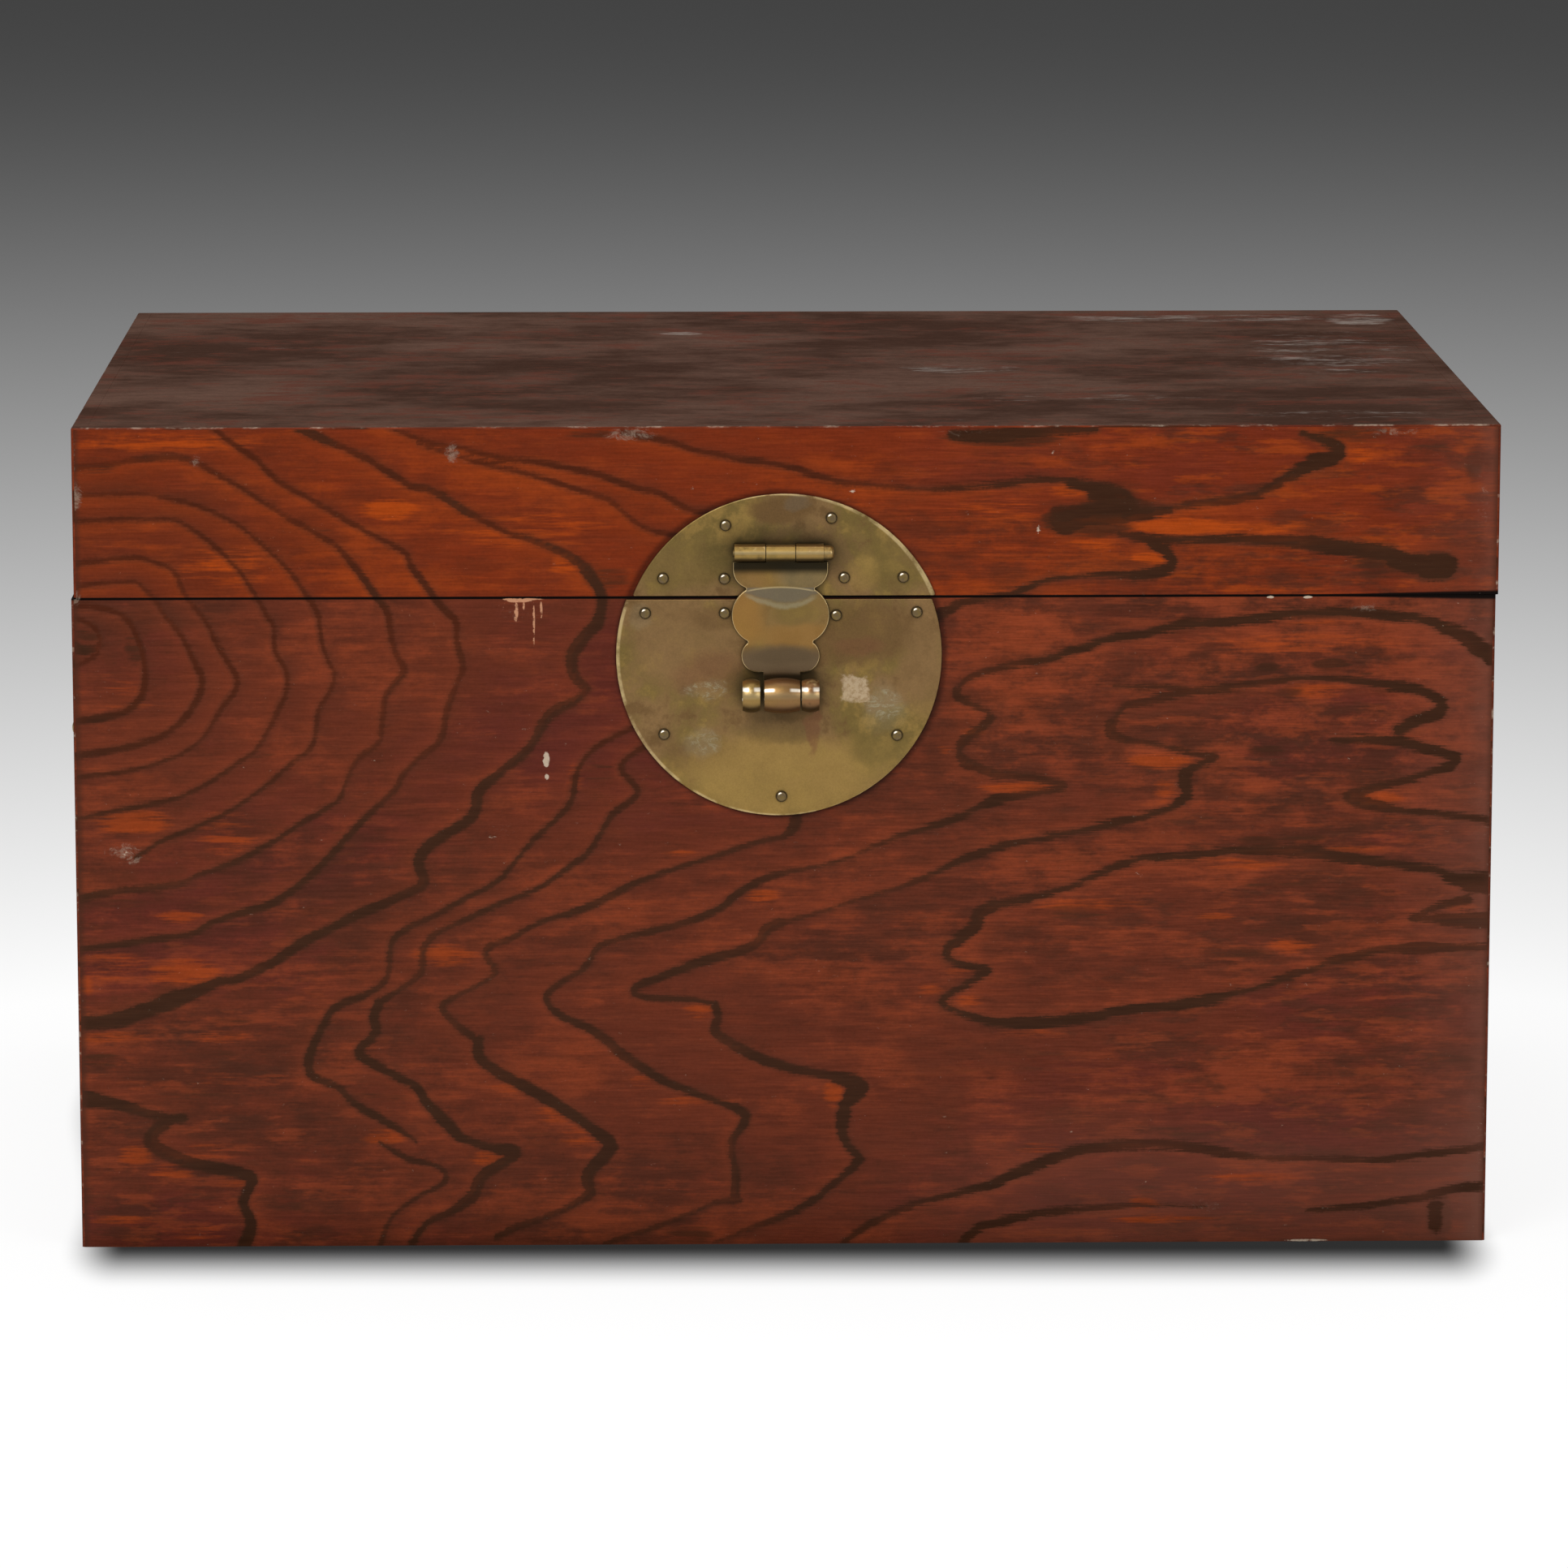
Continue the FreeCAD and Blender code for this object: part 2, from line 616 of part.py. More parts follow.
lobes = draw(new_sketch(hasp, "lobes", "XZ_Plane", "-knuckle_radius"), right_edge + mirrored(right_edge))
pad(hasp, lobes, "hasp_thickness")
sheet_front = "(knuckle_radius - hasp_thickness)"
below_head = value("-hasp_head_drop - notch_round")
rounded(hasp, "notch_round", lambda edge: edge.BoundBox.YLength > value("hasp_thickness / 2") and
        edge.CenterOfMass.z < below_head)
rounded(hasp, "plate_round", lambda edge: near(edge.BoundBox.YMax, sheet_front) and
        edge.CenterOfMass.z < value("-hasp_head_drop - pin_fit"))
knuckle = [("knuckle_radius", "-upper_lobe_drop"), ("knuckle_radius", "0", "-knuckle_radius", "0"),
           (sheet_front, f"-sqrt(knuckle_radius^2 - {sheet_front}^2)"), (sheet_front, "-upper_lobe_drop")]
pad(hasp, draw(new_sketch(hasp, "knuckle", "YZ_Plane"), knuckle), "middle_knuckle_width", middle=True)
barrel_up = "(-(hasp_hinge_rise + lock_drop))"
barrel_out = f"({HASP_AXIS_OUT} - {LOCK_AXIS_OUT})"
tongue = rectangle(("barrel_shift - tongue_width / 2", barrel_up),
                   ("barrel_shift + tongue_width / 2", "-hasp_foot_drop + hasp_thickness"))
pad(hasp, draw(new_sketch(hasp, "tongue", "XZ_Plane", "-knuckle_radius"), tongue), "hasp_thickness")
barrel_sketch = new_sketch(hasp, "barrel", "XZ_Plane", f"-{barrel_out}")
barrel_half = "barrel_width / 2"
draw(barrel_sketch, [
    (f"barrel_shift - {barrel_half}", f"{barrel_up} + lock_bore_radius"),
    (f"barrel_shift + {barrel_half}", f"{barrel_up} + lock_bore_radius"),
    (f"barrel_shift + {barrel_half}", f"{barrel_up} + barrel_end_radius",
     "barrel_shift", f"{barrel_up} + barrel_radius"),
    (f"barrel_shift - {barrel_half}", f"{barrel_up} + barrel_end_radius")])
axis_line = barrel_sketch.addGeometry(
    Part.LineSegment(Vector(value(f"-{barrel_half}"), value(barrel_up), 0),
                     Vector(value(barrel_half), value(barrel_up), 0)), True)
pin_down(barrel_sketch, axis_line, 1, (f"-{barrel_half}", barrel_up))
pin_down(barrel_sketch, axis_line, 2, (barrel_half, barrel_up))
revolve(hasp, barrel_sketch, "Axis0")
bore(hasp, "YZ_Plane", "hasp_pin_radius + pin_fit", "middle_knuckle_width + overrun", "pin_bore")
bore(hasp, "YZ_Plane", "lock_bore_radius", "barrel_width + tongue_width", "lock_bore",
     (barrel_out, barrel_up))


# Rear hinges

LEAF_TOP = "(hinge_knuckle_radius + hinge_gap)"
leaf_front = f"({HINGE_AXIS_OUT} - hinge_leaf_thickness)"


def hinge_leaf(label, x, outer):
    """Leaf of a rear hinge about its own axis, with the two outer knuckles or the middle one."""
    body = new_body(label, (x, f"{BACK} + {HINGE_AXIS_OUT}", HINGE_AXIS_UP),
                    axis=Vector(0, 1, 0), turn=0 if outer else 180)
    outline = [("-hinge_width / 2", f"-{LEAF_TOP}"), ("hinge_width / 2", f"-{LEAF_TOP}"),
               ("hinge_width / 2", "-hinge_leaf_straight", "0", "-hinge_leaf_height"),
               ("-hinge_width / 2", "-hinge_leaf_straight")]
    leaf = draw(new_sketch(body, "leaf", "XZ_Plane", HINGE_AXIS_OUT), outline)
    pad(body, leaf, "hinge_leaf_thickness", reverse=True)
    rolled = [(f"-{HINGE_AXIS_OUT}", f"-{LEAF_TOP}"),
              ("-hinge_knuckle_radius", "0", "hinge_knuckle_radius", "0"),
              (f"-{leaf_front}", f"-sqrt(hinge_knuckle_radius^2 - {leaf_front}^2)"),
              (f"-{leaf_front}", f"-{LEAF_TOP}")]
    sketch = draw(new_sketch(body, "knuckle", "YZ_Plane"), rolled)
    pad(body, sketch, "hinge_width" if outer else "hinge_middle_width", middle=True)
    if outer:
        room = rectangle(("-(hinge_middle_width / 2 + hinge_gap)", f"-{LEAF_TOP}"),
                         ("hinge_middle_width / 2 + hinge_gap", "hinge_knuckle_radius + overrun"))
        pocket(body, draw(new_sketch(body, "room", "XZ_Plane"), room),
               f"2 * {HINGE_AXIS_OUT} + overrun", middle=True)
    bore(body, "YZ_Plane", "hinge_pin_radius + pin_fit", "hinge_width + overrun")
    nail_holes(body, spread(leaf_nail_shares, "hinge_width", "-hinge_leaf_height"),
               "hinge_leaf_thickness", HINGE_AXIS_OUT)
    return body


HINGE_PLACES = {"left": "-hinge_spacing / 2", "right": "hinge_spacing / 2"}
pin_end = "(hinge_width / 2 + pin_fit)"
for side, x in HINGE_PLACES.items():
    hinge_leaf(f"{side}_hinge_body_leaf", x, outer=True)
    hinge_leaf(f"{side}_hinge_lid_leaf", x, outer=False)
    pin = new_body(f"{side}_hinge_pin", (x, f"{BACK} + {HINGE_AXIS_OUT}", HINGE_AXIS_UP))
    head_end = f"({pin_end} + hinge_pin_head)"
    revolve(pin, draw(new_sketch(pin, "section", "XZ_Plane"), [
        (f"-{head_end}", "0"), (f"-{head_end}", "hinge_pin_radius"),
        (f"-{pin_end}", "hinge_pin_head_radius"), (f"-{pin_end}", "hinge_pin_radius"),
        (pin_end, "hinge_pin_radius"), (pin_end, "hinge_pin_head_radius"),
        (head_end, "hinge_pin_radius"), (head_end, "0")]))


def leaf_nails(up, shift="0", rise="0"):
    """Nail centres of both hinges, up being the way their leaves reach."""
    return [centre for x in HINGE_PLACES.values()
            for centre in spread(leaf_nail_shares, "hinge_width", f"{up}hinge_leaf_height",
                                 f"{shift} + {x}", rise)]


nails("body_hinge_nails", ("0", BACK, HINGE_AXIS_UP), 180, leaf_nails("-"), "hinge_leaf_thickness")
nails("lid_hinge_nails", ("0", BACK, HINGE_AXIS_UP), 180, leaf_nails(""), "hinge_leaf_thickness")
nail_holes(back_board, leaf_nails("-", rise=HINGE_AXIS_UP), f"{PILOT} - hinge_leaf_thickness", "depth / 2")
nail_holes(lid_back_rail, leaf_nails("", "lid_shift", f"{HINGE_AXIS_UP} - {LID_BASE}"),
           f"{PILOT} - hinge_leaf_thickness", "depth / 2")


# Bail handles

POST_PLACES = {"front": "-handle_spacing / 2", "back": "handle_spacing / 2"}
BAIL_OUT = "(width / 2 + handle_standoff)"
ARM = "(handle_spacing / 2 - post_width / 2 - 2 * bail_fit - bail_turn)"
BAIL_END = "(handle_spacing / 2 + post_width / 2 + bail_overhang)"


def bail_path():
    """Half of the bail from its free end to the middle of the grip, then the same back."""
    turn_way = (f"-({ARM} + bail_turn * (1 - sqrt(0.5)))", "-bail_turn * (1 - sqrt(0.5))")
    corner_way = (f"-({ARM} - bail_corner * (1 - sqrt(0.5)))",
                  "-(bail_drop - bail_corner * (1 - sqrt(0.5)))")
    half = [(f"-{BAIL_END}", "0"), (f"-({ARM} + bail_turn)", "0", *turn_way), (f"-{ARM}", "-bail_turn"),
            (f"-{ARM}", "-(bail_drop - bail_corner)", *corner_way), (f"-({ARM} - bail_corner)", "-bail_drop")]
    return half + mirrored(half)


for side, away, turn, side_board in (
        ("left", "-", 0, left_side_board), ("right", "", 180, right_side_board)):
    slots(side_board, "YZ_Plane", "-width / 2", [(y, "handle_height") for y in POST_PLACES.values()],
          "post_leg_width / 2 + slot_fit", "leg_thickness / 2 + slot_fit", "wall", reverse=True)
    for end, y in POST_PLACES.items():
        post_place = (f"{away}{BAIL_OUT}", y, "handle_height")
        post = new_body(f"{side}_{end}_handle_post", post_place, turn=turn)
        eye_ring(post, "YZ_Plane", "bail_radius + bail_fit", "post_width", "post_end_radius", "post_radius")
        clenched_leg(post, "XZ_Plane", "(bail_radius + bail_fit + post_end_radius) / 2",
                     "(handle_standoff + wall)", "post_leg_width")
        rose = new_body(f"{side}_{end}_handle_rose", (f"{away}(width / 2)", y, "handle_height"), turn=turn)
        pad(rose, circles(new_sketch(rose, "disc", "YZ_Plane"), [("0", "0")], "rose_radius"),
            "rose_thickness", reverse=True)
        rounded(rose, "plate_round", lambda edge: near(edge.BoundBox.XMax, "-rose_thickness"))
        slots(rose, "YZ_Plane", "0", [("0", "0")], "post_leg_width / 2 + slot_fit",
              "leg_thickness / 2 + slot_fit", "rose_thickness")
    bail = new_body(f"{side}_bail", (f"{away}{BAIL_OUT}", "0", "handle_height"), turn=turn)
    spine = draw(new_sketch(bail, "path", "YZ_Plane"), bail_path(), closed=False)
    rod = circles(new_sketch(bail, "rod", "XZ_Plane", BAIL_END), [("0", "0")], "bail_radius")
    pipe = bail.newObject("PartDesign::AdditivePipe", f"{side}_bail_pipe")
    pipe.Profile = rod
    pipe.Spine = spine
    doc.recompute()


# Check and write every piece

doc.recompute()
for item in doc.Objects:
    if "Invalid" in item.State or "Error" in item.State:
        raise RuntimeError(f"{item.Label} failed: {item.State}")
os.makedirs("parts", exist_ok=True)
for body in parts:
    if body.Shape.isNull() or not body.Shape.isValid():
        raise RuntimeError(f"{body.Label} has no valid shape")
    body.Shape.exportStep(f"parts/{body.Label}.step")
    print(body.Label, "solids", len(body.Shape.Solids), "volume", round(body.Shape.Volume, 1))
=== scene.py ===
"""Looks for a lift-lid storage trunk: red lacquered boards with bold flame grain and an aged brass lock."""
import math

import bmesh
import bpy
import numpy as np
from mathutils import Matrix, Vector


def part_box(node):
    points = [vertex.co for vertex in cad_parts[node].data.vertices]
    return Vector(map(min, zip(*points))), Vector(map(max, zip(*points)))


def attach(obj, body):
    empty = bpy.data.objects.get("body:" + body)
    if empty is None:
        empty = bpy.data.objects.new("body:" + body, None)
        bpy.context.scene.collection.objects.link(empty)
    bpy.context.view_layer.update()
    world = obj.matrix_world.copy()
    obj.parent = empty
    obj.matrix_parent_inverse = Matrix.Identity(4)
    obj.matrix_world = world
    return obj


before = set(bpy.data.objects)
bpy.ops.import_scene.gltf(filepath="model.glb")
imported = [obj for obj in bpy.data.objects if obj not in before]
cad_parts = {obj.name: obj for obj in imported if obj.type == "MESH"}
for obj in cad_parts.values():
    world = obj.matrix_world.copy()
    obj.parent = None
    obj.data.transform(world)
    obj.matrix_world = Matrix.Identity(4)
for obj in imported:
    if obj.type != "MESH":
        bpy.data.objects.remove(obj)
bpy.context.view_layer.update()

# Places on the trunk, in metres from its middle and its underside
MM = 0.001
HALF_WIDTH = 0.4
HALF_DEPTH = 0.28
HEIGHT = 0.47
SPLIT = 0.37315
PLATE_X, PLATE_Z, PLATE_R = -0.0022, 0.3402, 0.0916
HASP_X = -0.0025
LEFT_EYE_X, RIGHT_EYE_X = -0.0191, 0.0141

# Camera, as it stood when the photograph was taken
PHOTO_SIDE = 1932
FOCAL_PIXELS = 8985
SENSOR_WIDTH = 36
CAMERA_PLACE = (-0.0824, -4.3257, 0.9983)
CAMERA_PITCH = 10.252
CAMERA_YAW = 1.160
FARTHEST = 200


def add_object(name, data):
    thing = bpy.data.objects.new(name, data)
    bpy.context.scene.collection.objects.link(thing)
    return thing


def set_camera():
    camera = bpy.data.cameras.new("camera")
    camera.sensor_width = SENSOR_WIDTH
    camera.lens = FOCAL_PIXELS * SENSOR_WIDTH / PHOTO_SIDE
    camera.clip_end = FARTHEST
    holder = add_object("camera", camera)
    holder.location = CAMERA_PLACE
    holder.rotation_euler = (math.radians(90 - CAMERA_PITCH), 0, math.radians(-CAMERA_YAW))
    bpy.context.scene.camera = holder


# Shader sums

class Number:
    """A number that may vary over a surface. Sums on it add Math nodes."""

    def __init__(self, shader, socket):
        self.shader = shader
        self.socket = socket

    def __add__(self, other):
        return self.shader.maths("ADD", self, other)

    def __sub__(self, other):
        return self.shader.maths("SUBTRACT", self, other)

    def __rsub__(self, other):
        return self.shader.maths("SUBTRACT", other, self)

    def __mul__(self, other):
        return self.shader.maths("MULTIPLY", self, other)

    def __truediv__(self, other):
        return self.shader.maths("DIVIDE", self, other)

    def __abs__(self):
        return self.shader.maths("ABSOLUTE", self)

    __radd__ = __add__
    __rmul__ = __mul__

    def rise(self, low, high):
        """From 0 at low to 1 at high, smoothly."""
        node = self.shader.node("ShaderNodeMapRange", {"interpolation_type": "SMOOTHSTEP"},
                                {"Value": self, "From Min": low, "From Max": high})
        return Number(self.shader, node.outputs["Result"])


class Shader:
    """One tree of shader nodes."""

    def __init__(self, tree):
        self.tree = tree
        tree.nodes.clear()

    def node(self, kind, settings=None, values=None):
        node = self.tree.nodes.new(kind)
        for name, setting in (settings or {}).items():
            setattr(node, name, setting)
        for name, value in (values or {}).items():
            value = value.socket if isinstance(value, Number) else value
            if isinstance(value, bpy.types.NodeSocket):
                self.tree.links.new(value, node.inputs[name])
            else:
                node.inputs[name].default_value = value
        return node

    def apart(self, vector):
        node = self.node("ShaderNodeSeparateXYZ", values={"Vector": vector})
        return [Number(self, node.outputs[axis]) for axis in "XYZ"]

    def together(self, x, y, z):
        return self.node("ShaderNodeCombineXYZ", values={"X": x, "Y": y, "Z": z}).outputs["Vector"]

    def maths(self, operation, *terms):
        node = self.node("ShaderNodeMath", {"operation": operation}, dict(enumerate(terms)))
        return Number(self, node.outputs[0])

    def larger(self, first, *others):
        for other in others:
            first = self.maths("MAXIMUM", first, other)
        return first

    def smaller(self, first, second):
        return self.maths("MINIMUM", first, second)

    def distance(self, across, up):
        return self.maths("SQRT", across * across + up * up)

    def mix(self, under, over, share):
        """Colour over laid on colour under by a share."""
        return self.node("ShaderNodeMix", {"data_type": "RGBA"}, {0: share, 6: under, 7: over}).outputs[2]

    def laid(self, tone, *layers):
        """The tone with colours laid on it one after the other, each by its share."""
        for over, share in layers:
            tone = self.mix(tone, over, share)
        return tone

    def shade(self, base, share):
        """The colour with its light scaled by a share."""
        base = base[:3] if isinstance(base, tuple) else base
        node = self.node("ShaderNodeVectorMath", {"operation": "SCALE"}, {"Vector": base, "Scale": share})
        return node.outputs["Vector"]


class Look(Shader):
    """One procedural material on the pieces' own coordinates, in metres."""

    def __init__(self, name):
        self.material = bpy.data.materials.new(name)
        self.material.use_nodes = True
        super().__init__(self.material.node_tree)
        coordinates = self.node("ShaderNodeTexCoord")
        self.place = coordinates.outputs["Object"]
        self.x, self.y, self.z = self.apart(self.place)
        self.facing_x, self.facing_y, self.facing_z = self.apart(coordinates.outputs["Normal"])

    def attribute(self, name):
        node = self.node("ShaderNodeAttribute", {"attribute_name": name, "attribute_type": "GEOMETRY"})
        return Number(self, node.outputs["Fac"])

    def noise(self, stretch, detail=3, roughness=0.55, shift=(0, 0, 0), place=None, distortion=0):
        """Noise with stretch features to the metre, alike or by axis."""
        mapped = self.node("ShaderNodeMapping", values={
            "Vector": place or self.place, "Location": shift,
            "Scale": stretch if isinstance(stretch, tuple) else (stretch,) * 3})
        node = self.node("ShaderNodeTexNoise", values={
            "Vector": mapped.outputs["Vector"], "Scale": 1, "Detail": detail,
            "Roughness": roughness, "Distortion": distortion})
        return Number(self, node.outputs[0])

    def patch(self, across, up, x, z, wide, tall, share=1):
        """A share inside an oval patch of the surface, falling to 0 at its rim."""
        right = (across - x) / wide
        above = (up - z) / tall
        return (right * right + above * above).rise(1, 0.2) * share

    def patches(self, across, up, rows):
        """The strongest patch of each place."""
        return self.larger(*[self.patch(across, up, *row) for row in rows])

    def films(self, tone, across, up, rows):
        """The tone under patches that each have a colour."""
        layers = [(over, self.patch(across, up, *shape, share)) for *shape, over, share in rows]
        return self.laid(tone, *layers)

    def bumped(self, height, distance, strength=1, normal=None):
        values = {"Height": height, "Distance": distance, "Strength": strength}
        if normal:
            values["Normal"] = normal
        return self.node("ShaderNodeBump", values=values).outputs["Normal"]

    def surface(self, base, roughness, metallic=0, normal=None, gloss=0.5, coat=0, coat_roughness=0.2):
        values = {"Base Color": base, "Roughness": roughness, "Metallic": metallic,
                  "Specular IOR Level": gloss, "Coat Weight": coat, "Coat Roughness": coat_roughness}
        if normal:
            values["Normal"] = normal
        shader = self.node("ShaderNodeBsdfPrincipled", values=values)
        self.node("ShaderNodeOutputMaterial", values={"Surface": shader.outputs["BSDF"]})
        return self.material


def colour(red, green, blue):
    """A colour as seen on a screen, from 0 to 255, in the linear light that a shader takes."""
    def linear(level):
        share = level / 255
        return share / 12.92 if share < 0.04045 else ((share + 0.055) / 1.055) ** 2.4
    return (linear(red), linear(green), linear(blue), 1)


